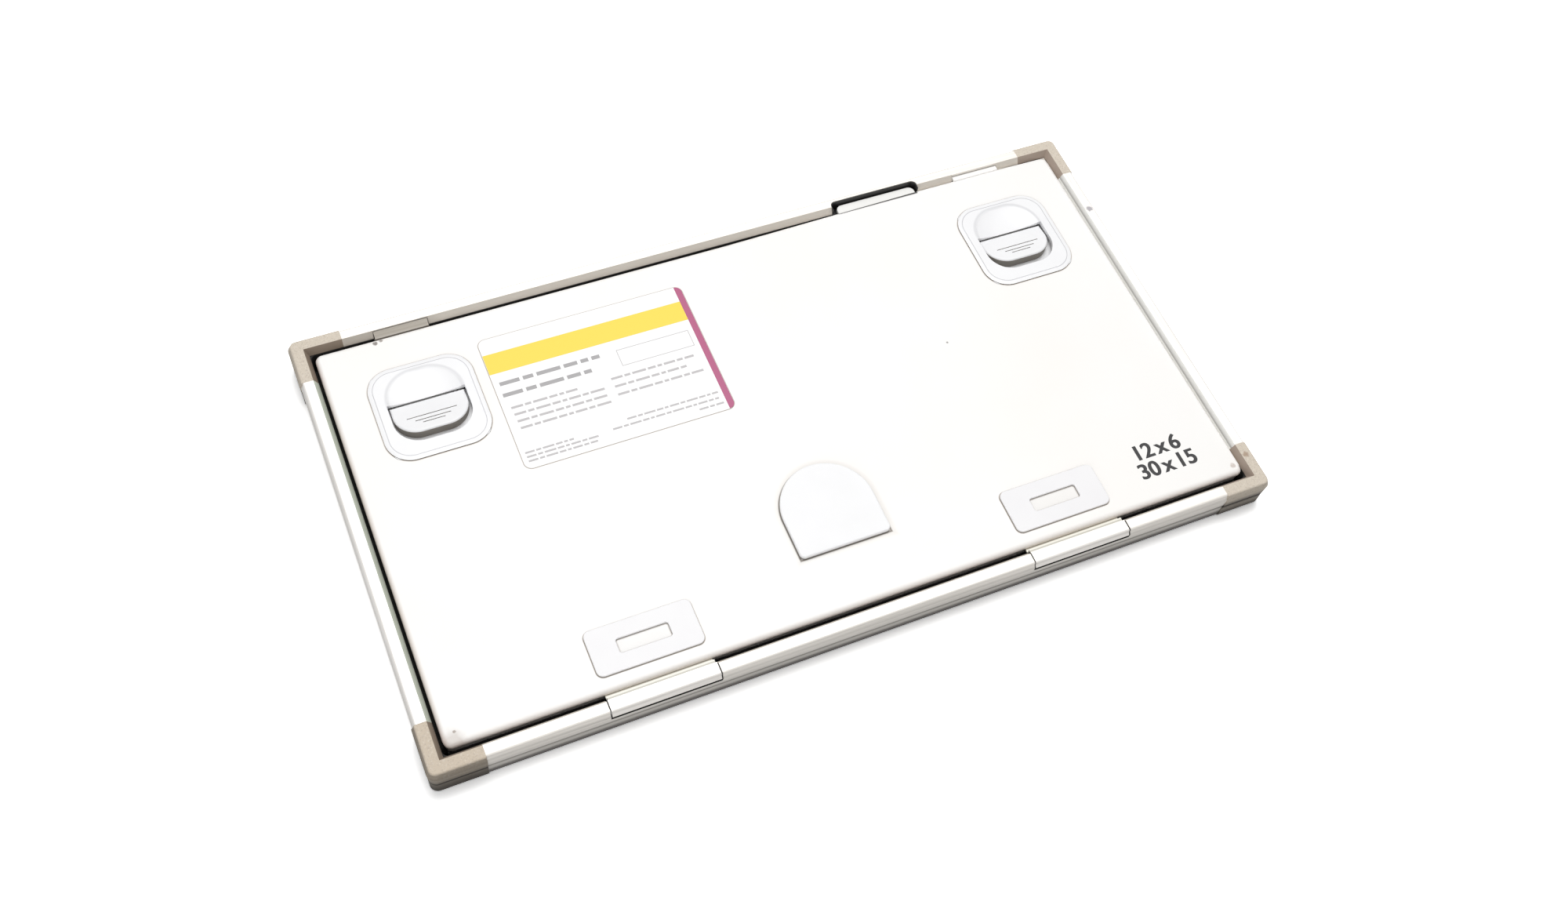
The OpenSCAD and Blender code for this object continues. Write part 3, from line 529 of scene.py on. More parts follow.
@dataclass(frozen=True)
class MouldedPlastic(Finish):
    """Injection-moulded plastic: an even colour and a fine matt grain from the tool."""

    shade: str = "#E9E9EE"
    grain: float = 0.3
    depth: float = 0.006

    def detail(self, tree: NodeTree, shader: Node, place: NodeSocket) -> NodeSocket:
        """Adds slow shade and a fine grain; see Finish.detail."""
        grain = add_node(
            tree, "TexNoise", {"Scale": per_mm(self.grain), "Detail": 2.0}, {"Vector": place}
        )
        self.relief(tree, shader, grain.outputs["Fac"], self.depth)
        return self.mottled(tree, place, self.shade, size=14.0, low=0.4, high=0.8, amount=0.5)


@dataclass(frozen=True)
class Felt(Finish):
    """Pressed black felt: short matted fibres that swallow the light."""

    fibre: float = 0.5
    shade: str = "#24221F"
    sheen: float = 0.25
    depth: float = 0.15

    def detail(self, tree: NodeTree, shader: Node, place: NodeSocket) -> NodeSocket:
        """Adds matted fibres and a weak sheen; see Finish.detail."""
        shader.inputs["Sheen Weight"].default_value = self.sheen
        fibres = add_node(
            tree, "TexNoise", {"Scale": per_mm(self.fibre), "Detail": 6.0, "Distortion": 1.5},
            {"Vector": place},
        )
        self.relief(tree, shader, fibres.outputs["Fac"], self.depth)
        return self.mottled(tree, place, self.shade, size=self.fibre * 2)


@dataclass(frozen=True)
class OpenCellFoam(Finish):
    """Polyether foam: small open cells, darker in their depths as painted shade."""

    cell: float = 1.1
    wall: float = 0.6
    deep: str = "#2E3032"
    depth: float = 0.25

    def detail(self, tree: NodeTree, shader: Node, place: NodeSocket) -> NodeSocket:
        """Adds open cells to colour and relief; see Finish.detail."""
        cells = add_node(tree, "TexVoronoi", {"Scale": per_mm(self.cell)}, {"Vector": place})
        dip = add_node(
            tree, "MapRange", {1: 0.0, 2: self.wall, 3: 0.0, 4: 1.0}, {0: cells.outputs["Distance"]}
        )
        self.relief(tree, shader, dip.outputs[0], self.depth)
        mix = add_node(
            tree, "MixRGB", {1: linear(self.deep), 2: linear(self.colour)}, {0: dip.outputs[0]}
        )
        return mix.outputs[0]


@dataclass(frozen=True)
class RolledFoil(Finish):
    """Soft rolled lead: dull, with shallow creases and cloudy oxide."""

    crease: float = 22.0
    oxide: str = "#8C9093"
    depth: float = 0.3

    def detail(self, tree: NodeTree, shader: Node, place: NodeSocket) -> NodeSocket:
        """Adds creases and oxide clouds; see Finish.detail."""
        creases = add_node(
            tree, "TexNoise", {"Scale": per_mm(self.crease), "Detail": 5.0, "Distortion": 1.0},
            {"Vector": place},
        )
        self.relief(tree, shader, creases.outputs["Fac"], self.depth)
        return self.mottled(tree, place, self.oxide, size=self.crease * 0.6)


@dataclass(frozen=True)
class ScreenCoating(Finish):
    """Phosphor screen under a clear coat: an even milky white with slow clouds of handling."""

    cloud: str = "#E6E7DF"
    coat: float = 0.4
    coat_roughness: float = 0.15

    def detail(self, tree: NodeTree, shader: Node, place: NodeSocket) -> NodeSocket:
        """Adds slow clouds and a smooth clear coat; see Finish.detail."""
        shader.inputs["Coat Weight"].default_value = self.coat
        shader.inputs["Coat Roughness"].default_value = self.coat_roughness
        return self.mottled(tree, place, self.cloud, size=45.0, low=0.4, high=0.8, amount=0.6)


@dataclass(frozen=True)
class PressedComposite(Finish):
    """Pressed fibre composite: a pale grey sheet with a leathery pebble."""

    pebble: float = 0.9
    scuff: str = "#C9C7C1"
    depth: float = 0.05

    def detail(self, tree: NodeTree, shader: Node, place: NodeSocket) -> NodeSocket:
        """Adds a pebbled skin and soft scuffs; see Finish.detail."""
        cells = add_node(tree, "TexVoronoi", {"Scale": per_mm(self.pebble)}, {"Vector": place})
        self.relief(tree, shader, cells.outputs["Distance"], self.depth)
        return self.mottled(tree, place, self.scuff, size=25.0, low=0.45, high=0.8, amount=0.5)


@dataclass(frozen=True)
class PrintedInk(Finish):
    """Screen-printed ink: flat colour, slightly broken by the surface below."""

    thin: str = "#5A5A5A"

    def detail(self, tree: NodeTree, shader: Node, place: NodeSocket) -> NodeSocket:
        """Adds thin places in the ink; see Finish.detail."""
        return self.mottled(tree, place, self.thin, size=0.5, low=0.6, high=0.85, amount=0.35)


# Baked enamel, warm white: a soft gloss, with chips and smudges near the corners and a broad
# darkening round the near-left one.
LID_ENAMEL = SatinEnamel(
    "satin_enamel_warm_white", "#FDFCFA", 0.42,
    stains=(
        Stain((157.0, -79.5, 13.2), 1.8, "#B5A294", 0.6),
        Stain((-135.8, 82.2, 13.2), 1.5, "#57493F", 0.8),
        Stain((-133.4, 82.8, 13.2), 1.2, "#6B5B4F", 0.7),
        Stain((75.5, 10.1, 13.2), 0.7, "#6E6A66", 0.8),
        Stain((-154.2, -78.4, 13.2), 0.9, "#7A6858", 0.75),
        Stain((-158.5, -84.5, 12.8), 12.0, "#A8978A", 0.45),
    ),
)
# Shares of painted shade by height: the rails and corners are darkest at the foot and in the
# groove; the short rails get less of it and the near-left corner more.
RAIL_HEIGHT_SHADE = (
    (0.0, 0.96), (1.4, 0.92), (3.2, 0.8), (4.8, 0.36), (6.3, 0.26), (6.9, 0.62), (7.8, 0.62),
    (8.5, 0.16), (10.2, 0.04), (11.8, 0.0), (13.0, 0.0), (14.2, 0.03), (14.9, 0.0),
)
SHORT_RAIL_HEIGHT_SHADE = ((0.0, 0.35), (1.5, 0.12), (6.4, 0.06), (6.9, 0.35), (7.7, 0.35), (8.3, 0.0))
CORNER_HEIGHT_SHADE = (
    (0.0, 0.96), (1.5, 0.94), (3.2, 0.85), (5.0, 0.66), (6.3, 0.78), (6.9, 0.98), (8.0, 0.98),
    (8.8, 0.75), (10.3, 0.46), (11.5, 0.22), (13.5, 0.14), (14.8, 0.0),
)
NEAR_LEFT_HEIGHT_SHADE = (
    (0.0, 0.99), (1.5, 0.98), (3.2, 0.97), (5.0, 0.9), (6.3, 0.86), (6.9, 0.98), (7.8, 0.98),
    (8.8, 0.75), (11.0, 0.58), (12.4, 0.62), (13.8, 0.5), (14.6, 0.15), (15.0, 0.0),
)
# Black at the foot of each slope: painted shade that deepens the gap round the lid.
GAP_HEIGHT_SHADE = ((0.0, 1.0), (11.9, 1.0), (12.1, 0.0))
# Anodised extrusions: a pale silky sheen along the rails and the hinge caps.
RAIL_LONG = AnodisedAluminium("anodised_rail_long", "#F3EEE7", 0.42, 0.35, height_shade=RAIL_HEIGHT_SHADE)
# The hinge cap is darker below its lower edge, as painted shade.
CAP_METAL = AnodisedAluminium(
    "anodised_hinge_cap", "#F3EFEA", 0.4, 0.35,
    height_shade=((0.0, 0.9), (11.4, 0.9), (11.8, 0.0), (14.2, 0.03), (14.9, 0.0)),
)
RAIL_SHORT = AnodisedAluminium(
    "anodised_rail_short", "#F6F3EF", 0.42, 0.35, run=Run.ALONG_Y, height_shade=SHORT_RAIL_HEIGHT_SHADE,
    stains=(Stain((163.6, 51.5, 15.0), 2.2, "#7D7884", 0.7),),
)
# The slope round the opening, matt, in a paler or darker copy for each side as painted light and
# shade, and the black below it.
SLOPE_PALE = MouldedPlastic(
    "anodised_slope_matt", "#EFE7DC", 0.7, shade="#E9E0D4", grain=0.8, height_shade=GAP_HEIGHT_SHADE,
    height_shade_colour="#0E0C0A",
)
# The far rail's slope darkens towards the top, with a grey band at its left end: painted shade.
SLOPE_FAR = replace(
    SLOPE_PALE, name="anodised_slope_far",
    height_shade=(
        (0.0, 1.0), (11.9, 1.0), (12.1, 0.0), (12.9, 0.03), (13.6, 0.11), (14.3, 0.17), (15.0, 0.24)
    ),
    painted_lines=(PaintedLine((-136.0, 87.0), (14.0, HAIR), HAIR, 14.0, "#8A8072", 0.32),),
)
# The right rail's slope: a very pale base as painted light, crossed by a grey line of painted
# shade.
SLOPE_SHADE_LINE = MouldedPlastic(
    "anodised_slope_painted_shade_line", "#FFFEFA", 0.7, shade="#FAF8F2", grain=0.8, height_shade_colour="#4A473F",
    height_shade=(
        (0.0, 0.0), (12.65, 0.0), (13.0, 0.56), (13.2, 0.54), (13.5, 0.34), (13.9, 0.22),
        (14.4, 0.14), (15.0, 0.04),
    ),
)
SLOPE_GREEN = MouldedPlastic(
    "anodised_slope_greenish", "#CAD1C2", 0.7, shade="#C0C7B8", grain=0.8, height_shade=GAP_HEIGHT_SHADE,
    height_shade_colour="#0E0C0A",
)
# The corners' slopes: taupe, darker than the nylon, as painted shade; paler on the right-hand
# corners.
SLOPE_TAUPE = MouldedPlastic(
    "nylon_slope_painted_shade", "#8C7D6E", 0.75, shade="#807264", grain=0.6, height_shade=GAP_HEIGHT_SHADE,
    height_shade_colour="#0E0C0A",
)
SLOPE_RIGHT = replace(SLOPE_TAUPE, name="nylon_slope_right", colour="#AB9B8E", shade="#9F9084")
# Black paint inside the frame, which also serves as painted shade: in the gap round the lid and in
# the slots under the hinge caps.
INNER_BLACK = MouldedPlastic("matt_black_inner_paint_and_painted_shade", "#12100E", 0.8, shade="#1B1916")
# A pale band of painted light on the black, near the far right end of the opening.
INNER_BLACK_LIT_AT_ONE_END = replace(
    INNER_BLACK, name="matt_black_paint_worn_at_one_end",
    painted_lines=(PaintedLine((128.0, 85.5), (33.0, HAIR), HAIR, 7.0, "#E4DDD2", 0.95),),
)
# Glass-filled nylon: dry and grainy; the near-left corner's copy is darker and browner, as painted
# shade.
CORNER_NYLON = SpeckledNylon(
    "speckled_nylon_taupe", "#D6CBBB", 0.62, height_shade=CORNER_HEIGHT_SHADE,
    stains=(Stain((163.5, -77.5, 15.0), 2.0, "#9A7B62", 0.7),),
)
SHADED_NYLON = SpeckledNylon("speckled_nylon_painted_shade", "#CFC1AE", 0.62, height_shade=NEAR_LEFT_HEIGHT_SHADE)
# Cool white mouldings; painted shade on the low walls round the bezels and on the buttons' steep
# walls.
LATCH_PLASTIC = MouldedPlastic("moulded_plastic_cool_white", "#F8F8F9", 0.36, shade="#F1F1F3")
WALL_SHADE = MouldedPlastic("painted_shade_on_a_low_wall", "#4A4036", 0.7, shade="#3C332B", grain=0.6)
BUTTON_SHADE = MouldedPlastic("moulded_plastic_painted_shade", "#8D877F", 0.5, shade="#7A746C", grain=0.5)
# The bent lip over the left bolt: bare metal whose grey is painted shade, and its level root,
# darker still as painted shade.
LIP_SHADED_METAL = AnodisedAluminium("bare_metal_lip_painted_shade", "#A69E92", 0.5, 0.2)
LIP_SHADE = MouldedPlastic("painted_shade_at_lip_root", "#4E473F", 0.7, shade="#3C362F")
# Satin mouldings that stand on the lid, darker at the foot as painted shade.
PAD_PLASTIC = MouldedPlastic(
    "moulded_plastic_pad", "#F9F9FA", 0.5, shade="#F3F3F3", grain=0.5, depth=0.015,
    height_shade=((0.0, 0.85), (13.35, 0.8), (13.65, 0.3), (14.1, 0.08), (14.6, 0.0)),
    height_shade_colour="#3A332B",
)
PLATE_PLASTIC = MouldedPlastic(
    "moulded_plastic_plate", "#F5F4F5", 0.45, shade="#EEEDEF",
    height_shade=((0.0, 0.8), (13.35, 0.75), (13.7, 0.15), (14.0, 0.0)), height_shade_colour="#4A4036",
)
BOLT_PLASTIC = MouldedPlastic("slippery_plastic_white", "#FAF9F6", 0.3, shade="#F0EFEA")
LINER_PLASTIC = MouldedPlastic("liner_black", "#141312", 0.45, shade="#1E1C1A")
# Cream enamel on the leaves that join the caps to the lid.
LEAF_ENAMEL = SatinEnamel("enamel_cream", "#FBF9EF", 0.4, warm="#F8F3E4", speck_spacing=40.0)
# What the closed cassette hides: dull felt and foam, grey lead, milky screens and bare metal.
SEAL_FELT = Felt("felt_black", "#0E0D0C", 0.95)
FOAM = OpenCellFoam("open_cell_foam_grey", "#5A5D60", 0.95)
LEAD = RolledFoil("rolled_lead_foil", "#6F7478", 0.5, 0.8)
SCREEN = ScreenCoating("screen_coating_white", "#F3F3EC", 0.35)
PANEL = PressedComposite("pressed_composite_grey", "#D9D8D3", 0.6)
TRAY = AnodisedAluminium("mill_aluminium_tray", "#C4C6C8", 0.38, 0.9)
STEEL = AnodisedAluminium("drawn_steel", "#A9ABAD", 0.3, 1.0, line=0.12)
RIVET = AnodisedAluminium("rivet_aluminium", "#B4B6B8", 0.35, 1.0, line=0.12)
# Coated paper with a faint gloss, and flat printed inks.
LABEL_PAPER = MouldedPlastic("coated_label_paper", "#FDFDFC", 0.4, shade="#FBFBFB")
INK_BLACK = PrintedInk("ink_black", "#1B1A1C", 0.5)
INK_GREY = PrintedInk("ink_grey", "#ACAAAB", 0.5, thin="#C0BEBF")
INK_PALE = PrintedInk("ink_pale_grey", "#C4C1C2", 0.5, thin="#DAD8D8")
INK_YELLOW = PrintedInk("ink_yellow", "#FADF4C", 0.45, thin="#FBE260")
INK_MAGENTA = PrintedInk("ink_magenta", "#B4557F", 0.45, thin="#A04A6E")


# ---------------------------------------------------------------------------------------------
# Shaping
# ---------------------------------------------------------------------------------------------


def corner_box(node: str) -> tuple[Vector, Vector]:
    """The lowest and highest corners of a construction node, in millimetres."""
    low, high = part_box(node)
    return Vector(low) / MM, Vector(high) / MM


def outline(node: str) -> tuple[Vector, Vector]:
    """The middle of a construction node's box and half of its size, in millimetres."""
    low, high = corner_box(node)
    return (low + high) / 2, (high - low) / 2


def ramp(value: float, start: float, end: float) -> float:
    """How far a value has come from a start to an end, from 0 to 1."""
    return min(max((value - start) / (end - start), 0.0), 1.0)


def smooth_by_angle(mesh: Mesh, degrees: float) -> None:
    """Shades a mesh smooth, except across edges sharper than the angle given."""
    mesh.polygons.foreach_set("use_smooth", [True] * len(mesh.polygons))
    mesh.set_sharp_from_angle(angle=math.radians(degrees))
    mesh.update()


def publish(
    shape: BMesh, name: str, body: Body, finish: Finish,
    nodes: Sequence[str] = (), degrees: float = 34.0,
) -> Object:
    """Turns a finished shape into a piece of the object.

    Args:
        shape: the shape in millimetres, in place; it is freed.
        name: the piece's name.
        body: the rigid body that it rides on.
        finish: the finish that it gets.
        nodes: the construction nodes that it stands for.
        degrees: edges sharper than this stay sharp in the shading.

    Returns:
        The new object.
    """
    bmesh.ops.scale(shape, vec=(MM, MM, MM), verts=shape.verts)
    mesh = bpy.data.meshes.new(name)
    shape.to_mesh(mesh)
    shape.free()
    smooth_by_angle(mesh, degrees)
    mesh.materials.append(finish.material())
    piece = bpy.data.objects.new(name, mesh)
    bpy.context.scene.collection.objects.link(piece)
    even = piece.modifiers.new("even_normals", "WEIGHTED_NORMAL")
    even.keep_sharp = True
    if nodes:
        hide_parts(*nodes)
    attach(piece, body.value)
    LOG.info("piece %s on %s: %d faces", name, body.value, len(mesh.polygons))
    return piece


def recoat(piece: Object, finish: Finish, chosen: Callable[[Vector, Vector], bool]) -> None:
    """Gives another finish to some faces of a piece.

    Args:
        piece: the piece, with its first finish on.
        finish: the other finish.
        chosen: tells from a face's middle, in millimetres, and its normal whether it changes.
    """
    piece.data.materials.append(finish.material())
    index = len(piece.data.materials) - 1
    for face in piece.data.polygons:
        if chosen(face.center / MM, face.normal):
            face.material_index = index


def rounded_sheet(
    low: Point, high: Point, radii: Radii, bottom: float, top: float, segments: int = 12
) -> BMesh:
    """A flat plate whose corners are rounded one by one.

    Args:
        low: least x and y.
        high: greatest x and y.
        radii: radius at each corner, keyed by the signs of its x and y.
        bottom: height of its underside.
        top: height of its upper side.
        segments: steps in each round corner.

    Returns:
        The closed plate.
    """
    shape = bmesh.new()
    bmesh.ops.create_grid(shape, x_segments=1, y_segments=1, size=0.5)
    size = (high[0] - low[0], high[1] - low[1])
    bmesh.ops.scale(shape, vec=(size[0], size[1], 1), verts=shape.verts)
    for (sign_x, sign_y), radius in radii.items():
        corner = max(shape.verts, key=lambda v: v.co.x * sign_x * 10 + v.co.y * sign_y * 10)
        bmesh.ops.bevel(
            shape, geom=[corner], offset=radius, offset_type="OFFSET", segments=segments,
            profile=0.5, affect="VERTICES", material=-1,
        )
    bmesh.ops.remove_doubles(shape, verts=shape.verts, dist=DOUBLE)
    middle = ((low[0] + high[0]) / 2, (low[1] + high[1]) / 2, bottom)
    bmesh.ops.translate(shape, vec=middle, verts=shape.verts)
    raise_into_plate(shape, top - bottom)
    return shape


def raise_into_plate(shape: BMesh, height: float) -> None:
    """Extrudes a flat outline upwards into a closed plate, in place."""
    grown = bmesh.ops.extrude_face_region(shape, geom=shape.faces[:])
    moved = [g for g in grown["geom"] if isinstance(g, BMVert)]
    bmesh.ops.translate(shape, vec=(0, 0, height), verts=moved)
    bmesh.ops.recalc_face_normals(shape, faces=shape.faces)


def merge_into(shape: BMesh, part: BMesh) -> None:
    """Adds one shape's faces to another and frees it."""
    mesh = bpy.data.meshes.new("part")
    part.to_mesh(mesh)
    part.free()
    shape.from_mesh(mesh)
    bpy.data.meshes.remove(mesh)


def even_corners(radius: float) -> Radii:
    """The same radius at all four corners of a plate."""
    return {(x, y): radius for x in (-1, 1) for y in (-1, 1)}


def block(low: Sequence[float], high: Sequence[float]) -> BMesh:
    """A closed block between two corners."""
    shape = bmesh.new()
    bmesh.ops.create_cube(shape, size=1.0)
    size = [b - a for a, b in zip(low, high)]
    bmesh.ops.scale(shape, vec=size, verts=shape.verts)
    bmesh.ops.translate(shape, vec=[(a + b) / 2 for a, b in zip(low, high)], verts=shape.verts)
    return shape


def sharp_edges(shape: BMesh) -> list[BMEdge]:
    """The edges where two faces meet at more than the angle that is broken."""
    limit = math.radians(SHARP)
    return [e for e in shape.edges if e.is_manifold and e.calc_face_angle(0.0) > limit]


def soften(shape: BMesh, edges: Iterable[BMEdge], width: float, segments: int = 2) -> None:
    """Rounds edges, in place.

    Args:
        shape: the shape to change.
        edges: the edges to round.
        width: the round's width in millimetres.
        segments: steps in the round.
    """
    bmesh.ops.bevel(
        shape, geom=list(edges), offset=width, offset_type="OFFSET", segments=segments, profile=0.5,
        affect="EDGES", material=-1, clamp_overlap=True,
    )


def top_rim(shape: BMesh, height: float) -> list[BMEdge]:
    """The edges of a plate's upper face that border its sides."""
    found = []
    for edge in shape.edges:
        level = all(abs(v.co.z - height) < LEVEL for v in edge.verts)
        if level and edge.is_manifold and edge.calc_face_angle(0.0) > math.radians(RIM):
            found.append(edge)
    return found


class Carving(str, Enum):
    """What one shape does to another."""

    ADD = "UNION"
    TAKE = "DIFFERENCE"


def finished_mesh(holder: Object) -> Mesh:
    """A new mesh of an object as its modifiers or its curve leave it."""
    bpy.context.view_layer.update()
    return bpy.data.meshes.new_from_object(
        holder.evaluated_get(bpy.context.evaluated_depsgraph_get())
    )


def carve(base: BMesh, steps: Sequence[tuple[Carving, BMesh]]) -> BMesh:
    """Adds shapes to a base and takes shapes from it, in order.

    Args:
        base: the shape to start from; it is freed.
        steps: each shape with what it does; they are freed too.

    Returns:
        The finished shape.
    """
    holders = []
    for shape in [base, *[tool for _, tool in steps]]:
        mesh = bpy.data.meshes.new("carving")
        shape.to_mesh(mesh)
        shape.free()
        holder = bpy.data.objects.new("carving", mesh)
        bpy.context.scene.collection.objects.link(holder)
        holders.append(holder)
    for (kind, _), tool in zip(steps, holders[1:]):
        step = holders[0].modifiers.new(kind.name, "BOOLEAN")
        step.operation = kind.value
        step.solver = "EXACT"
        step.object = tool
    result = finished_mesh(holders[0])
    shape = bmesh.new()
    shape.from_mesh(result)
    for holder in holders:
        mesh = holder.data
        bpy.data.objects.remove(holder)
        bpy.data.meshes.remove(mesh)
    bpy.data.meshes.remove(result)
    bmesh.ops.remove_doubles(shape, verts=shape.verts, dist=DOUBLE)
    flat = math.radians(FLAT_CUT)
    bmesh.ops.dissolve_limit(shape, angle_limit=flat, verts=shape.verts, edges=shape.edges)
    return shape


def softened_copy(node: str, width: float, segments: int = 2) -> BMesh:
    """Copies a construction node and breaks its sharp edges, as tools and handling do.

    Args:
        node: the construction node.
        width: width of the broken edge in millimetres.
        segments: steps in the broken edge.

    Returns:
        The softened shape in millimetres.
    """
    shape = bmesh.new()
    shape.from_mesh(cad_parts[node].data)
    bmesh.ops.remove_doubles(shape, verts=shape.verts, dist=TOUCH)
    bmesh.ops.scale(shape, vec=(1 / MM, 1 / MM, 1 / MM), verts=shape.verts)
    flat = math.radians(FLAT_NODE)
    bmesh.ops.dissolve_limit(shape, angle_limit=flat, verts=shape.verts, edges=shape.edges)
    if width:
        soften(shape, sharp_edges(shape), width, segments)
    return shape


def dress(
    node: str, name: str, body: Body, finish: Finish, width: float, segments: int = 2
) -> Object:
    """Builds one piece from a construction node whose sharp edges are broken.

    Args:
        node: the construction node.
        name: the piece's name.
        body: the rigid body that it rides on.
        finish: the finish that it gets.
        width: width of its broken edges in millimetres.
        segments: steps in each broken edge.

    Returns:
        The new piece.
    """
    return publish(softened_copy(node, width, segments), name, body, finish, [node])


# ---------------------------------------------------------------------------------------------
# The frame
# ---------------------------------------------------------------------------------------------


@dataclass
class CassetteFrame:
    """The aluminium frame, its moulded corners and what lies inside it."""

    opening: Point = (160.5, 85.7)
    slope_low: float = 11.95
    slope_foot: float = 11.7
    slope_width: float = 1.9
    slope_normal: Point = (0.25, 0.75)
    slot_slack: float = 1.2
    front_normal: float = 0.97
    shadow_rise: float = 9.4
    shadow_half: float = 10.0
    rail_edge: float = 0.12
    corner_edge: float = 0.25
    sheet_edge: float = 0.15
    felt_edge: float = 0.5
    corners: tuple[str, ...] = (
        "corner_hinge_left", "corner_hinge_right", "corner_latch_left", "corner_latch_right",
    )
    seals: tuple[str, ...] = ("seal_hinge_side", "seal_latch_side", "seal_left", "seal_right")

    def build(self) -> None:
        """Builds every piece of the frame."""
        self.build_rails()
        for node in self.corners:
            # The near-left corner gets the darker copy of the nylon, as painted shade.
            finish = SHADED_NYLON if node == "corner_hinge_left" else CORNER_NYLON
            moulding = dress(
                node, f"{node}_moulding", Body.FRAME, finish, self.corner_edge
            )
            recoat(moulding, SLOPE_RIGHT if node.endswith("right") else SLOPE_TAUPE, self.on_slope)
            recoat(
                moulding, INNER_BLACK_LIT_AT_ONE_END if node == "corner_latch_right" else INNER_BLACK, self.within
            )
        dress("front_panel", "tube_side_panel", Body.FRAME, PANEL, self.sheet_edge)
        dress(
            "front_screen", "front_intensifying_screen", Body.FRAME, SCREEN,
            self.sheet_edge,
        )
        for node in self.seals:
            dress(node, f"{node}_felt", Body.FRAME, SEAL_FELT, self.felt_edge)
        dress("notch_liner", "notch_lining", Body.FRAME, LINER_PLASTIC, self.rail_edge)
        for side in Side:
            end = side.value
            dress(
                f"hinge_pin_{end}", f"hinge_pin_rod_{end}", Body.FRAME, STEEL,
                self.sheet_edge,
            )

    def build_rails(self) -> None:
        """Builds the four rails, each with its lines drawn along it."""
        near = replace(RAIL_LONG, name=f"{RAIL_LONG.name}_near", painted_lines=self.cap_shadows())
        for node, finish, slope in (
            ("rail_hinge_side", near, SLOPE_PALE), ("rail_latch_side", RAIL_LONG, SLOPE_FAR),
            ("rail_left", RAIL_SHORT, SLOPE_GREEN), ("rail_right", RAIL_SHORT, SLOPE_SHADE_LINE),
        ):
            rail = dress(node, f"{node}_extrusion", Body.FRAME, finish, self.rail_edge)
            recoat(rail, slope, self.on_slope)
            recoat(rail, INNER_BLACK_LIT_AT_ONE_END if node == "rail_latch_side" else INNER_BLACK, self.within)
            if node == "rail_hinge_side":
                # The slots under the hinge caps are black as painted shade.
                recoat(rail, INNER_BLACK, self.in_hinge_slot)

    def within(self, middle: Vector, normal: Vector) -> bool:
        """Whether a face borders the opening below the slope, where black paint stops light and
        also serves as painted shade in the gap.
        """
        x, y = self.opening
        return abs(middle.x) < x and abs(middle.y) < y and middle.z < self.slope_low

    def on_slope(self, middle: Vector, normal: Vector) -> bool:
        """Whether a face is the slope that runs round the opening below the frame's top."""
        x, y = (half + self.slope_width for half in self.opening)
        flat, steep = self.slope_normal
        beside = abs(middle.x) < x and abs(middle.y) < y
        return beside and flat < normal.z < steep and middle.z > self.slope_foot

    def cap_shadows(self) -> tuple[PaintedLine, ...]:
        """The painted shadow on the near rail's front along the hinge caps' outlines."""
        lines = []
        for side in Side:
            low, high = corner_box(f"hinge_cap_{side.value}")
            middle = ((low.x + high.x) / 2, low.z + self.shadow_rise)
            half = ((high - low).x / 2, self.shadow_half)
            lines.append(FrontPaintedLine(middle, half, radius=0.3, width=0.7, colour="#0E0C0A"))
        return tuple(lines)

    def in_hinge_slot(self, middle: Vector, normal: Vector) -> bool:
        """Whether a face lies in one of the rail's slots for a hinge cap."""
        slack = self.slot_slack
        for side in Side:
            low, high = corner_box(f"hinge_cap_{side.value}")
            beside = low.x - slack < middle.x < high.x + slack and middle.z > low.z - slack
            if beside and abs(normal.y) < self.front_normal:
                return True
        return False


# ---------------------------------------------------------------------------------------------
# The lid
# ---------------------------------------------------------------------------------------------


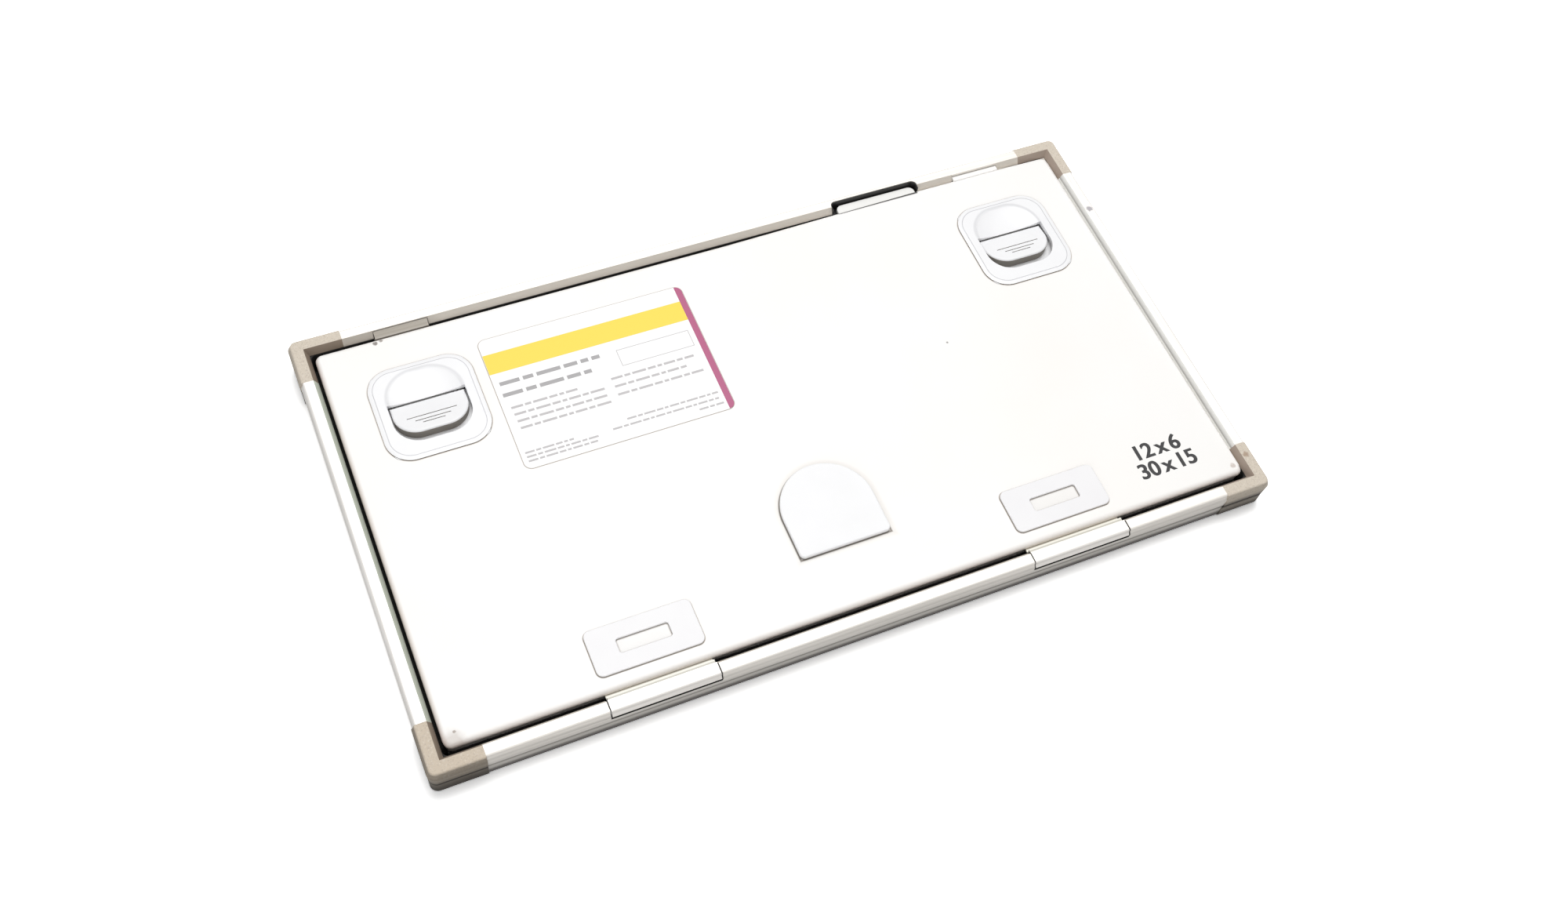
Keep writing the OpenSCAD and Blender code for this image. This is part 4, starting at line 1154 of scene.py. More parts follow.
@dataclass
class Lid:
    """The lid shell with its pad, tab, tray and the sheets that it presses on the film."""

    edge: float = 0.2
    foam_edge: float = 0.9
    sheet_edge: float = 0.15
    ring_slope: float = 2.6
    ring_reach: float = 45.0
    ring_level: float = 0.01
    lip_y: float = 83.9
    lip_margin: float = 2.0
    lip_level: float = 0.95
    far_off: float = 400.0
    spread: float = 1.15
    spread_from: float = 10.0
    spread_to: float = 95.0
    far_brim: Point = (81.9, 84.1)
    brim_top: float = 84.0
    tighter: float = 0.5
    corner_from: float = 153.0
    corner_to: float = 159.0
    corner_ease: float = 0.45
    side_brim: float = 1.9
    side_half: float = 80.0
    near_spread: float = 0.6
    near_brim: float = 2.8
    near_run: float = 1.5
    root_rise: float = 0.4
    pad_corner: float = 2.0
    pad_flat: float = 0.01
    pad_round: float = 0.7
    tab_round: float = 0.4
    tab_corner: float = 2.6

    def build(self) -> None:
        """Builds every piece of the lid but its hinges, latches and print."""
        self.build_shell()
        self.build_pad()
        self.build_tab()
        dress("lid_tray", "lid_backing_tray", Body.LID, TRAY, self.sheet_edge)
        dress("lead_foil", "lead_backing_foil", Body.LID, LEAD, 0.0)
        dress(
            "back_screen", "back_intensifying_screen", Body.LID, SCREEN, self.sheet_edge
        )
        foam = dress(
            "pressure_foam", "pressure_foam_sheet", Body.LID, FOAM, self.foam_edge, 3
        )

    def build_shell(self) -> None:
        """Builds the shell, whose recess round the pad slopes down gently."""
        shape = softened_copy("lid_shell", 0.0)
        floor = corner_box("lid_pad")[0].z
        middle = outline("lid_pad")[0]
        for corner in shape.verts:
            level = abs(corner.co.z - floor) < self.ring_level
            if level and (corner.co - middle).length < self.ring_reach:
                inward = Vector((middle.x - corner.co.x, middle.y - corner.co.y, 0))
                corner.co += inward.normalized() * self.ring_slope
        self.set_brims(shape)
        soften(shape, sharp_edges(shape), self.edge)
        # The enamel gets lines of painted shade round what stands on it and along its edges.
        enamel = replace(LID_ENAMEL, painted_lines=self.shade_lines())
        cover = publish(shape, "lid_cover", Body.LID, enamel, ["lid_shell"])
        # The lip over the left bolt and its root are grey as painted shade.
        recoat(cover, LIP_SHADED_METAL, self.on_bent_lip)
        recoat(cover, LIP_SHADE, self.at_lip_root)

    def set_brims(self, shape: BMesh) -> None:
        """Sets the lid's brims as they were rolled, in place.

        The far brim stands further out and is tighter towards its right end, and eases back at
        the corner. The right brim is tighter, and the near one stands out evenly.

        Args:
            shape: the shell.
        """
        low, high = corner_box("lid_shell")
        for x in (self.spread_from, self.spread_to):
            everything = shape.verts[:] + shape.edges[:] + shape.faces[:]
            bmesh.ops.bisect_plane(shape, geom=everything, plane_co=(x, 0, 0), plane_no=(1, 0, 0))
        for corner in shape.verts:
            if self.far_brim[0] < corner.co.y < self.far_brim[1]:
                share = ramp(corner.co.x, self.spread_from, self.spread_to)
                eased = ramp(corner.co.x, self.corner_from, self.corner_to)
                share *= 1.0 - self.corner_ease * eased
                corner.co.y += share * (self.spread + self.tighter * (self.brim_top - corner.co.y))
            if corner.co.x > high.x - self.side_brim and abs(corner.co.y) < self.side_half:
                corner.co.x += self.tighter * (high.x - corner.co.x)
            within = low.y + self.near_brim - corner.co.y
            corner.co.y -= self.near_spread * ramp(within, 0.0, self.near_run)

    def shade_lines(self) -> tuple[PaintedLine, ...]:
        """The painted shade round what stands on the lid, and along its own edges."""
        lines = []
        for node, radius, width, colour in (
            ("latch_bezel_left", 10.0, 0.5, "#B9AEA2"), ("latch_bezel_right", 10.0, 0.5, "#B9AEA2"),
            ("hinge_plate_left", 2.6, 0.5, "#A39789"), ("hinge_plate_right", 2.6, 0.5, "#A39789"),
            ("label", 3.0, 0.4, "#A3968A"),
        ):
            middle, half = outline(node)
            lines.append(PaintedLine(tuple(middle.xy), tuple(half.xy), radius, width, colour))
        for side in Side:
            hinge = Hinge(side)
            middle = outline(f"hinge_plate_{side.value}")[0]
            half = (hinge.window[0] / 2, hinge.window[1] / 2)
            window = PaintedLine(tuple(middle.xy), half, hinge.window_corner)
            lines.append(replace(window, width=2.8, colour="#EAE8E6", strength=0.6))
            lines.append(replace(window, width=0.6, colour="#A89C8F", strength=0.8))
        low, high = corner_box("lid_pad")
        radius = (high.x - low.x) / 2
        centre = ((low.x + high.x) / 2, high.y - radius)
        arch = ArchPaintedLine(centre, (radius, centre[1] - low.y), radius)
        lines.append(replace(arch, width=2.8, colour="#BDB2A6", strength=0.22))
        lines.append(replace(arch, width=0.7, colour="#6B6054", strength=0.9))
        low, wide = corner_box("lid_shell")[0], self.far_off
        edge = PaintedLine((low.x + wide, 0.0), (wide, wide), 3.0, strength=0.6)
        lines.append(replace(edge, width=1.9, colour="#C7AFA2"))
        near = low.y - self.near_spread
        lines.append(replace(edge, middle=(0.0, near + wide), width=2.3, colour="#BDB1A8"))
        low, high = corner_box("lift_tab")
        root = ((low.x + high.x) / 2, self.lip_y + self.root_rise)
        lines.append(PaintedLine(root, ((high.x - low.x) / 2, HAIR), HAIR, width=0.75, colour="#33302C"))
        return tuple(lines)

    def on_bent_lip(self, middle: Vector, normal: Vector) -> bool:
        """Whether a face is on the lip over the left bolt, which carries on the rim's slope."""
        low, high = corner_box("latch_bolt_left")
        margin = self.lip_margin
        return middle.y > self.lip_y and low.x - margin < middle.x < high.x + margin

    def at_lip_root(self, middle: Vector, normal: Vector) -> bool:
        """Whether a face is the level run at that lip's root."""
        return self.on_bent_lip(middle, normal) and normal.z > self.lip_level

    def build_pad(self) -> None:
        """Builds the D-shaped pad with its rounded brim."""
        low, high = corner_box("lid_pad")
        radius = (high.x - low.x) / 2
        arch = radius - self.pad_flat
        radii = {(-1, 1): arch, (1, 1): arch, (-1, -1): self.pad_corner, (1, -1): self.pad_corner}
        shape = rounded_sheet(low.xy, high.xy, radii, low.z, high.z, 20)
        soften(shape, top_rim(shape, high.z), self.pad_round, 4)
        publish(shape, "lid_spacer_pad", Body.LID, PAD_PLASTIC, ["lid_pad"])

    def build_tab(self) -> None:
        """Builds the lift tab that shows in the notch."""
        low, high = corner_box("lift_tab")
        radii = {(-1, 1): self.tab_corner, (1, 1): self.tab_corner}
        shape = rounded_sheet(low.xy, high.xy, radii, low.z, high.z, 10)
        soften(shape, top_rim(shape, high.z), self.tab_round, 3)
        publish(shape, "lid_lift_tab", Body.LID, BOLT_PLASTIC, ["lift_tab"])


@dataclass
class Hinge:
    """One hinge: cap on the pin, cream leaf, plate on the lid and the rivets that join them."""

    side: Side
    plate_corner: float = 2.6
    plate_round: float = 0.3
    window: Point = (19.6, 5.6)
    window_corner: float = 0.9
    cap_edge: float = 0.12
    rivet_edge: float = 0.15
    far_off: float = 400.0
    lid_gap: float = 0.5
    cap_gap: float = 0.75

    def build(self) -> None:
        """Builds the hinge's four pieces."""
        end = self.side.value
        lid, cap = corner_box("lid_shell")[0], corner_box(f"hinge_cap_{end}")[1]
        # Lines of painted shade on the leaf where it meets the lid and the cap.
        at_lid = PaintedLine(
            (0.0, 0.0), (self.far_off, -lid.y + self.lid_gap), 1.0, width=0.8, colour="#8F8475",
            strength=0.9,
        )
        at_cap = PaintedLine(
            (0.0, 0.0), (self.far_off, -cap.y - self.cap_gap), 1.0, width=0.5, colour="#A9A59B",
            strength=0.7,
        )
        leaf = replace(LEAF_ENAMEL, painted_lines=(at_lid, at_cap))
        for node, name, finish, slot, width in (
            ("hinge_cap", "hinge_cap_extrusion", CAP_METAL, "rail", self.cap_edge),
            ("hinge_leaf", "hinge_leaf_strip", leaf, "leaf", self.cap_edge),
            ("hinge_rivets", "hinge_rivet_set", RIVET, "rivet", self.rivet_edge),
        ):
            dress(f"{node}_{end}", f"{name}_{end}", Body.LID, finish, width)
        self.build_plate()

    def build_plate(self) -> None:
        """Builds the plate with its round-cornered window."""
        node = f"hinge_plate_{self.side.value}"
        low, high = corner_box(node)
        middle = outline(node)[0]
        half = Vector(self.window) / 2
        plate = rounded_sheet(low.xy, high.xy, even_corners(self.plate_corner), low.z, high.z)
        window = rounded_sheet(
            middle.xy - half, middle.xy + half, even_corners(self.window_corner),
            low.z - OVERCUT, high.z + OVERCUT, 6,
        )
        shape = carve(plate, [(Carving.TAKE, window)])
        soften(shape, top_rim(shape, high.z), self.plate_round, 3)
        name = f"hinge_cover_plate_{self.side.value}"
        publish(shape, name, Body.LID, PLATE_PLASTIC, [node])


# ---------------------------------------------------------------------------------------------
# The latches
# ---------------------------------------------------------------------------------------------


@dataclass
class Latch:
    """One latch: bezel, finger scoop, slide button, bolt and return springs."""

    side: Side
    bezel_corner: float = 10.0
    rim_width: float = 1.7
    rim_rise: float = 0.35
    rim_round: float = 0.2
    rim_angle: float = 24.0
    rim_segments: int = 3
    body_size: Point = (36.8, 38.0)
    body_wall: float = 1.0
    body_corner: float = 3.0
    room_height: float = 3.5
    lug_width: float = 2.4
    lug_reach: Point = (1.25, 0.05)
    lug_heights: Point = (0.3, 0.2)
    bolt_clear: float = 0.3
    bolt_edge: float = 0.2
    slot_half: float = 15.0
    slot_length: float = 18.6
    slot_far: float = 4.8
    slot_corner: float = 10.0
    scoop_half: float = 14.4
    scoop_length: float = 12.8
    scoop_depth: float = 1.6
    ball_share: float = 2.2
    ball_back: float = 0.5
    button_gap: float = 0.6
    button_length: float = 14.5
    button_round: float = 0.9
    button_low: float = 2.4
    button_back: float = 0.4
    crown_drop: float = 0.25
    crown_foot: float = 0.5
    crown_angle: float = 30.0
    tall: float = 2.0
    steepness: float = 0.8
    sink: float = 0.1
    base_height: float = 0.9
    base_corner: float = 1.5
    window_room: Point = (0.4, 1.65)
    post_radius: float = 1.2
    post_height: float = 1.3
    grooves: tuple[Point, ...] = ((19.2, 0.5), (13.6, 0.63), (8.6, 0.73))
    groove_half: Point = (0.17, 0.35)
    wall_margin: float = 2.5
    wall_normal: float = 0.5
    spring_turns: int = 7
    turn_steps: int = 16
    wire_radius: float = 0.2
    wire_segments: int = 8
    middle: Vector = field(init=False)
    face: float = field(init=False)
    top: float = field(init=False)
    tray: float = field(init=False)

    def __post_init__(self) -> None:
        """Reads the latch's place and heights from the construction."""
        low, high = corner_box(self.node("bezel"))
        self.middle = (low + high) / 2
        self.face = corner_box("label")[0].z
        self.top = high.z
        self.tray = low.z

    def node(self, part: str) -> str:
        """The name of a construction node or a piece of this latch."""
        return f"latch_{part}_{self.side.value}"

    def build(self) -> None:
        """Builds the latch's pieces."""
        self.build_bezel()
        self.build_slide()
        self.build_springs()
        bolt, tongue = self.node("bolt"), self.node("bolt_tongue")
        dress(bolt, tongue, self.side.latch, BOLT_PLASTIC, self.bolt_edge)

    def slot_prism(self, margin: float, low: float, high: float) -> BMesh:
        """The D-shaped prism of the slot, less a margin on its sides and far edge.

        Args:
            margin: how far it keeps inside the slot.
            low: height of its lower end.
            high: height of its upper end.

        Returns:
            The prism in place.
        """
        half = self.slot_half - margin
        near = self.middle.y + self.slot_far - self.slot_length + margin
        far = self.middle.y + self.slot_far - margin
        radius = self.slot_corner - margin
        radii = {(-1, -1): radius, (1, -1): radius}
        return rounded_sheet(
            (self.middle.x - half, near), (self.middle.x + half, far), radii, low, high, 16
        )

    def scoop_bowl(self) -> BMesh:
        """The far half of a flattened ball, which presses the finger scoop into the bezel."""
        height = self.scoop_depth * self.ball_share
        rise = height - self.scoop_depth
        share = math.sqrt(1 - (rise / height) ** 2)
        shape = bmesh.new()
        bmesh.ops.create_uvsphere(shape, u_segments=96, v_segments=48, radius=1.0)
        size = (self.scoop_half / share, self.scoop_length / share, height)
        bmesh.ops.scale(shape, vec=size, verts=shape.verts)
        centre = (self.middle.x, self.middle.y + self.slot_far, self.top + rise)
        bmesh.ops.translate(shape, vec=centre, verts=shape.verts)
        everything = shape.verts[:] + shape.edges[:] + shape.faces[:]
        cut = bmesh.ops.bisect_plane(
            shape, geom=everything, plane_co=centre, plane_no=(0, -1, 0), clear_outer=True
        )
        bmesh.ops.holes_fill(shape, edges=[g for g in cut["geom_cut"] if isinstance(g, BMEdge)])
        flat = [v for v in shape.verts if v.co.y < centre[1] + LEVEL]
        bmesh.ops.translate(shape, vec=(0, -self.ball_back, 0), verts=flat)
        bmesh.ops.recalc_face_normals(shape, faces=shape.faces)
        return shape

    def build_bezel(self) -> None:
        """Builds the bezel: sloping rim, D-shaped slot, finger scoop and the box below the lid."""
        low, high = corner_box(self.node("bezel"))
        middle, half = self.middle.xy, Vector(self.body_size) / 2
        deep = Vector((self.body_wall, self.body_wall))
        under = self.tray + self.room_height
        outer = even_corners(self.body_corner)
        box = rounded_sheet(middle - half, middle + half, outer, self.tray, self.face + self.sink)
        inner = even_corners(self.body_corner - self.body_wall)
        room = rounded_sheet(
            middle - half + deep, middle + half - deep, inner, self.tray - OVERCUT, under
        )
        steps = [(Carving.TAKE, room), (Carving.ADD, self.bezel_cap(low, high))]
        spring_low, spring_high = corner_box(self.node("springs"))
        back, front = (spring_low.y - reach for reach in self.lug_reach)
        foot, head = self.tray + self.lug_heights[0], under + self.lug_heights[1]
        for x in (spring_low.x, spring_high.x - self.lug_width):
            lug = block((x, back, foot), (x + self.lug_width, front, head))
            steps.append((Carving.ADD, lug))
        bolt_low, bolt_high = corner_box(self.node("bolt"))
        clear, far = self.bolt_clear, middle.y + half.y
        way = block(
            (bolt_low.x - clear, far - 2 * OVERCUT, bolt_low.z - clear),
            (bolt_high.x + clear, far + OVERCUT, under),
        )
        steps += [
            (Carving.TAKE, self.slot_prism(0.0, under - OVERCUT, self.top + 2 * OVERCUT)),
            (Carving.TAKE, self.scoop_bowl()),
            (Carving.TAKE, way),
        ]
        piece = publish(
            carve(box, steps), self.node("bezel_moulding"), Body.LID, self.lined_plastic(),
            [self.node("bezel")], degrees=self.rim_angle,
        )
        # The bezel's low outer wall gets painted shade.
        recoat(piece, WALL_SHADE, self.on_outer_wall)
        edge = piece.modifiers.new("broken_edge", "BEVEL")
        edge.width = self.rim_round * MM
        edge.segments = self.rim_segments
        edge.limit_method = "ANGLE"
        edge.angle_limit = math.radians(self.rim_angle)
        piece.modifiers.move(1, 0)

    def bezel_cap(self, low: Vector, high: Vector) -> BMesh:
        """The bezel's sheet on the lid, with a rim that slopes up to its plateau.

        Args:
            low: the bezel's lowest corner.
            high: the bezel's highest corner.

        Returns:
            The closed sheet.
        """
        lip = self.face + self.rim_rise
        cap = rounded_sheet(low.xy, high.xy, even_corners(self.bezel_corner), self.face, lip)
        upper = max(cap.faces, key=lambda f: f.calc_center_median().z)
        bmesh.ops.inset_region(
            cap, faces=[upper], thickness=self.rim_width, depth=0.0, use_even_offset=True
        )
        plateau = [f for f in cap.faces if f.normal.z > 0.9 and len(f.verts) > 8][0]
        bmesh.ops.translate(
            cap, vec=(0, 0, self.top - self.face - self.rim_rise), verts=plateau.verts[:]
        )
        return cap

    def on_outer_wall(self, middle: Vector, normal: Vector) -> bool:
        """Whether a face is on the low wall that the bezel shows round its outline."""
        rim, margin = (Vector((width, width, 0)) for width in (self.rim_width, self.wall_margin))
        half = outline(self.node("bezel"))[1] - rim - margin
        away = middle - self.middle
        steep = abs(normal.z) < self.wall_normal and middle.z > self.face
        return steep and (abs(away.x) > half.x or abs(away.y) > half.y)

    def lined_plastic(self) -> Finish:
        """The latch's plastic, with a painted shadow line round the bezel's plateau and painted
        shade round the scoop.
        """
        half = outline(self.node("bezel"))[1]
        inset = self.rim_width + self.sink
        line = PaintedLine(
            tuple(self.middle.xy), (half.x - inset, half.y - inset), self.bezel_corner - inset,
            width=0.24, colour="#A9A9AE", strength=0.75,
        )
        bowl = PaintedLine(
            (self.middle.x, self.middle.y + self.slot_far), (self.scoop_half, self.scoop_length),
            radius=12.0, width=1.1, colour="#BEBEC2", strength=0.4,
        )
        return replace(
            LATCH_PLASTIC, name=f"{LATCH_PLASTIC.name}_{self.side.value}", painted_lines=(line, bowl)
        )

    def build_slide(self) -> None:
        """Builds the slide: a D-shaped button with fine grooves, and its base with two windows."""
        low, high = corner_box(self.node("slide"))
        floor = low.z + self.base_height
        crest = high.z - self.crown_drop
        bolt_low, bolt_high = corner_box(self.node("bolt"))
        base = rounded_sheet(low.xy, high.xy, even_corners(self.base_corner), low.z, floor, 6)
        bridge = block(
            (bolt_low.x, bolt_low.y, floor - self.sink), (bolt_high.x, high.y, bolt_low.z)
        )
        steps = [
            (Carving.ADD, self.button(floor, crest, high.z)),
            *((Carving.TAKE, window) for window in self.spring_windows(low.z, floor)),
            (Carving.ADD, bridge),
            *((Carving.TAKE, groove) for groove in self.groove_cuts(floor, crest)),
        ]
        top = bolt_low.z + self.post_height
        for sign in (-1, 1):
            post = bmesh.new()
            radius = self.post_radius
            bmesh.ops.create_cone(
                post, cap_ends=True, segments=24, radius1=radius, radius2=radius, depth=top - floor
            )
            x = self.middle.x + sign * (bolt_high.x - bolt_low.x) / 4
            place = (x, (bolt_low.y + high.y) / 2, (floor + bolt_low.z + self.post_height) / 2)
            bmesh.ops.translate(post, vec=place, verts=post.verts)
            steps.append((Carving.ADD, post))
        piece = publish(
            carve(base, steps), self.node("slide_button"), self.side.latch, LATCH_PLASTIC,
            [self.node("slide")], degrees=30.0,
        )
        # The button's steep walls get painted shade.
        recoat(
            piece, BUTTON_SHADE, lambda middle, normal: abs(normal.z) < 0.35 and middle.z > floor
        )

    def button(self, floor: float, crest: float, high: float) -> BMesh:
        """The D-shaped button, which slopes down to its far edge under a rounded crown.

        Args:
            floor: height of the base that it stands on.
            crest: height of its near end.
            high: height that it's cut from.

        Returns:
            The button in place.
        """
        far = self.middle.y + self.slot_far - self.button_back
        half = self.slot_half - self.button_gap
        radius = self.slot_corner - self.button_gap
        shape = rounded_sheet(
            (self.middle.x - half, far - self.button_length), (self.middle.x + half, far),
            {(-1, -1): radius, (1, -1): radius}, floor - self.sink, high, 18,
        )
        for corner in shape.verts:
            if corner.co.z > high - LEVEL:
                corner.co.z = self.slope_at((far - corner.co.y) / self.button_length, floor, crest)
        limit, foot = math.radians(self.crown_angle), floor + self.crown_foot
        edges = [e for e in shape.edges if e.is_manifold and e.calc_face_angle(0.0) > limit]
        crown = [e for e in edges if all(v.co.z > foot for v in e.verts) and not self.upright(e)]
        soften(shape, crown, self.button_round, 5)
        return shape

    def slope_at(self, share: float, floor: float, crest: float) -> float:
        """The height of the button's slope at a share of its length from the far edge."""
        tip = floor + self.button_low
        return tip + (crest - tip) * share

    def spring_windows(self, low: float, floor: float) -> list[BMesh]:
        """The blocks that cut the springs' windows through the slide's base."""
        spring_low, spring_high = corner_box(self.node("springs"))
        side, near = self.window_room
        return [
            block(
                (x - side, spring_low.y - near, low - OVERCUT),
                (x + self.lug_width + side, spring_high.y + self.lug_reach[1], floor + OVERCUT),
            )
            for x in (spring_low.x, spring_high.x - self.lug_width)
        ]

    def groove_cuts(self, floor: float, crest: float) -> list[BMesh]:
        """The blocks that cut the fine grooves across the button's slope."""
        slope = math.atan2(crest - floor - self.button_low, self.button_length)
        wide, deep = self.groove_half
        cuts = []
        for length, share in self.grooves:
            groove = block((-length / 2, -wide, -deep), (length / 2, wide, deep))
            bmesh.ops.rotate(
                groove, cent=(0, 0, 0), matrix=Matrix.Rotation(-slope, 3, "X"), verts=groove.verts
            )
            y = self.middle.y + self.slot_far - self.button_back - share * self.button_length
            place = (self.middle.x, y, self.slope_at(share, floor, crest))
            bmesh.ops.translate(groove, vec=place, verts=groove.verts)
            cuts.append(groove)
        return cuts

    def upright(self, edge: BMEdge) -> bool:
        """Whether an edge stands up rather than running round the button's top."""
        rise = abs(edge.verts[0].co.z - edge.verts[1].co.z)
        return rise >= self.tall or rise > self.steepness * edge.calc_length()

    def build_springs(self) -> None:
        """Builds the two coil springs at rest; the real ones shorten as the slide is pulled."""
        low, high = corner_box(self.node("springs"))
        shape = bmesh.new()
        radius = (high.z - low.z) / 2
        length = high.y - low.y - 2 * self.wire_radius
        steps = self.turn_steps * self.spring_turns
        start, level = low.y + self.wire_radius, (low.z + high.z) / 2
        for x in (low.x + radius, high.x - radius):
            ring = bmesh.ops.create_circle(
                shape, cap_ends=False, segments=self.wire_segments, radius=self.wire_radius
            )["verts"]
            bmesh.ops.translate(
                shape, vec=(x + radius - self.wire_radius, start, level), verts=ring
            )
            edges = [e for e in shape.edges if all(v in ring for v in e.verts)]
            bmesh.ops.spin(
                shape, geom=edges, cent=(x, start, level), axis=(0, 1, 0), use_duplicate=False,
                dvec=(0, length / steps, 0), angle=2 * math.pi * self.spring_turns, steps=steps,
            )
        bmesh.ops.holes_fill(shape, edges=[e for e in shape.edges if e.is_boundary])
        bmesh.ops.recalc_face_normals(shape, faces=shape.faces)
        piece = publish(
            shape, self.node("return_springs"), Body.LID, STEEL, [self.node("springs")],
            degrees=60.0,
        )
        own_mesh(piece)


# ---------------------------------------------------------------------------------------------
# Print and label
# ---------------------------------------------------------------------------------------------


@dataclass
class Print:
    """The label with its plain bands and rules, and the size numerals on the lid."""

    film: float = 0.03
    label_corner: float = 3.0
    band: Point = (44.2, 53.4)
    stripe: float = 2.6
    inset: float = 0.1
    band_gap: float = 0.02
    frame_low: Point = (-50.4, 31.8)
    frame_high: Point = (-20.5, 39.5)
    frame_line: float = 0.25
    heading_rows: tuple[tuple[float, float, float, float], ...] = (
        (2.4, 38.2, 40.0, 1.7), (2.0, 32.9, 38.0, 1.7)
    )
    fine_rows: tuple[tuple[float, float, float, float], ...] = (
        (3.2, 27.0, 28.0, 1.0), (3.4, 23.8, 36.0, 1.0), (3.6, 20.6, 35.5, 1.0),
        (3.8, 17.4, 37.5, 1.0), (43.0, 27.0, 34.0, 1.0), (43.2, 23.3, 29.5, 1.0),
        (43.1, 19.5, 35.0, 1.0), (1.8, 6.6, 19.0, 0.8), (1.9, 4.7, 28.0, 0.8),
        (2.0, 2.8, 27.0, 0.8), (42.6, 8.2, 37.0, 0.8), (36.0, 5.6, 43.0, 0.8),
        (70.0, 3.0, 10.0, 0.8),
    )
    bar_lengths: tuple[float, ...] = (4.6, 2.4, 5.6, 3.2, 1.8)
    bar_gap: float = 0.8
    numeral_height: float = 6.7
    numeral_share: float = 0.73
    numeral_weight: float = 0.15
    numeral_space: float = 0.55
    numeral_rows: tuple[tuple[str, float, float], ...] = (
        ("12 x 6", 121.2, -64.9), ("30 x 15", 119.8, -73.1)
    )
    numeral_shifts: tuple[Point, ...] = ((-0.15, 0.0), (0.15, 0.004))

    def build(self) -> None:
        """Builds the label, its print and the numerals."""
        low, high = corner_box("label")
        paper = rounded_sheet(low.xy, high.xy, even_corners(self.label_corner), low.z, high.z, 8)
        publish(paper, "label_sheet", Body.LID, LABEL_PAPER, ["label"])
        edge = high.x - self.stripe
        band = block(
            (low.x + self.inset, low.y + self.band[0], high.z),
            (edge - self.band_gap, low.y + self.band[1], high.z + self.film),
        )
        publish(band, "label_band", Body.LID, INK_YELLOW)
        corner = self.stripe - self.inset / 2
        stripe = rounded_sheet(
            (edge, low.y + self.inset), (high.x - self.inset / 2, high.y - self.inset),
            {(1, 1): corner, (1, -1): corner}, high.z, high.z + self.film, 8,
        )
        publish(stripe, "label_stripe", Body.LID, INK_MAGENTA)
        self.build_rules(low, high.z)
        self.build_numerals(low.z)

    def build_rules(self, low: Vector, level: float) -> None:
        """Prints plain bars in rows, and one empty frame.

        Args:
            low: the label's lowest corner.
            level: height of its face.
        """
        top = level + self.film
        for name, ink, rows in (
            ("label_heading_bars", INK_GREY, self.heading_rows),
            ("label_fine_bars", INK_PALE, self.fine_rows),
        ):
            shape = bmesh.new()
            for x, y, length, weight in rows:
                lengths = itertools.cycle(self.bar_lengths)
                start, end = x, x + length
                while start < end - weight:
                    stop = min(start + next(lengths) * weight, end)
                    bar = block(
                        (low.x + start, low.y + y, level), (low.x + stop, low.y + y + weight, top)
                    )
                    merge_into(shape, bar)
                    start = stop + weight * self.bar_gap
            publish(shape, name, Body.LID, ink)
        (left, foot), (right, head), line = self.frame_low, self.frame_high, self.frame_line
        outer = block((left, low.y + foot, level), (right, low.y + head, top))
        inner = block(
            (left + line, low.y + foot + line, level - OVERCUT),
            (right - line, low.y + head - line, level + OVERCUT),
        )
        publish(carve(outer, [(Carving.TAKE, inner)]), "label_frame", Body.LID, INK_PALE)

    def build_numerals(self, face: float) -> None:
        """Prints plain size numerals near the hinge-side corner of the lid.

        Args:
            face: height of the lid's face.
        """
        shape = bmesh.new()
        for text, x, y in self.numeral_rows:
            curve = bpy.data.curves.new("numerals", "FONT")
            curve.body = text
            curve.size = self.numeral_height / self.numeral_share
            curve.offset = self.numeral_weight
            curve.space_word = self.numeral_space
            holder = bpy.data.objects.new("numerals", curve)
            bpy.context.scene.collection.objects.link(holder)
            mesh = finished_mesh(holder)
            for shift, rise in self.numeral_shifts:
                copy = mesh.copy()
                copy.transform(Matrix.Translation((x + shift, y, face + rise)))
                shape.from_mesh(copy)
                bpy.data.meshes.remove(copy)
            bpy.data.objects.remove(holder)
            bpy.data.curves.remove(curve)
            bpy.data.meshes.remove(mesh)
        bmesh.ops.remove_doubles(shape, verts=shape.verts, dist=DOUBLE)
        raise_into_plate(shape, self.film)
        publish(shape, "size_numerals", Body.LID, INK_BLACK)


# ---------------------------------------------------------------------------------------------
# Studio
# ---------------------------------------------------------------------------------------------


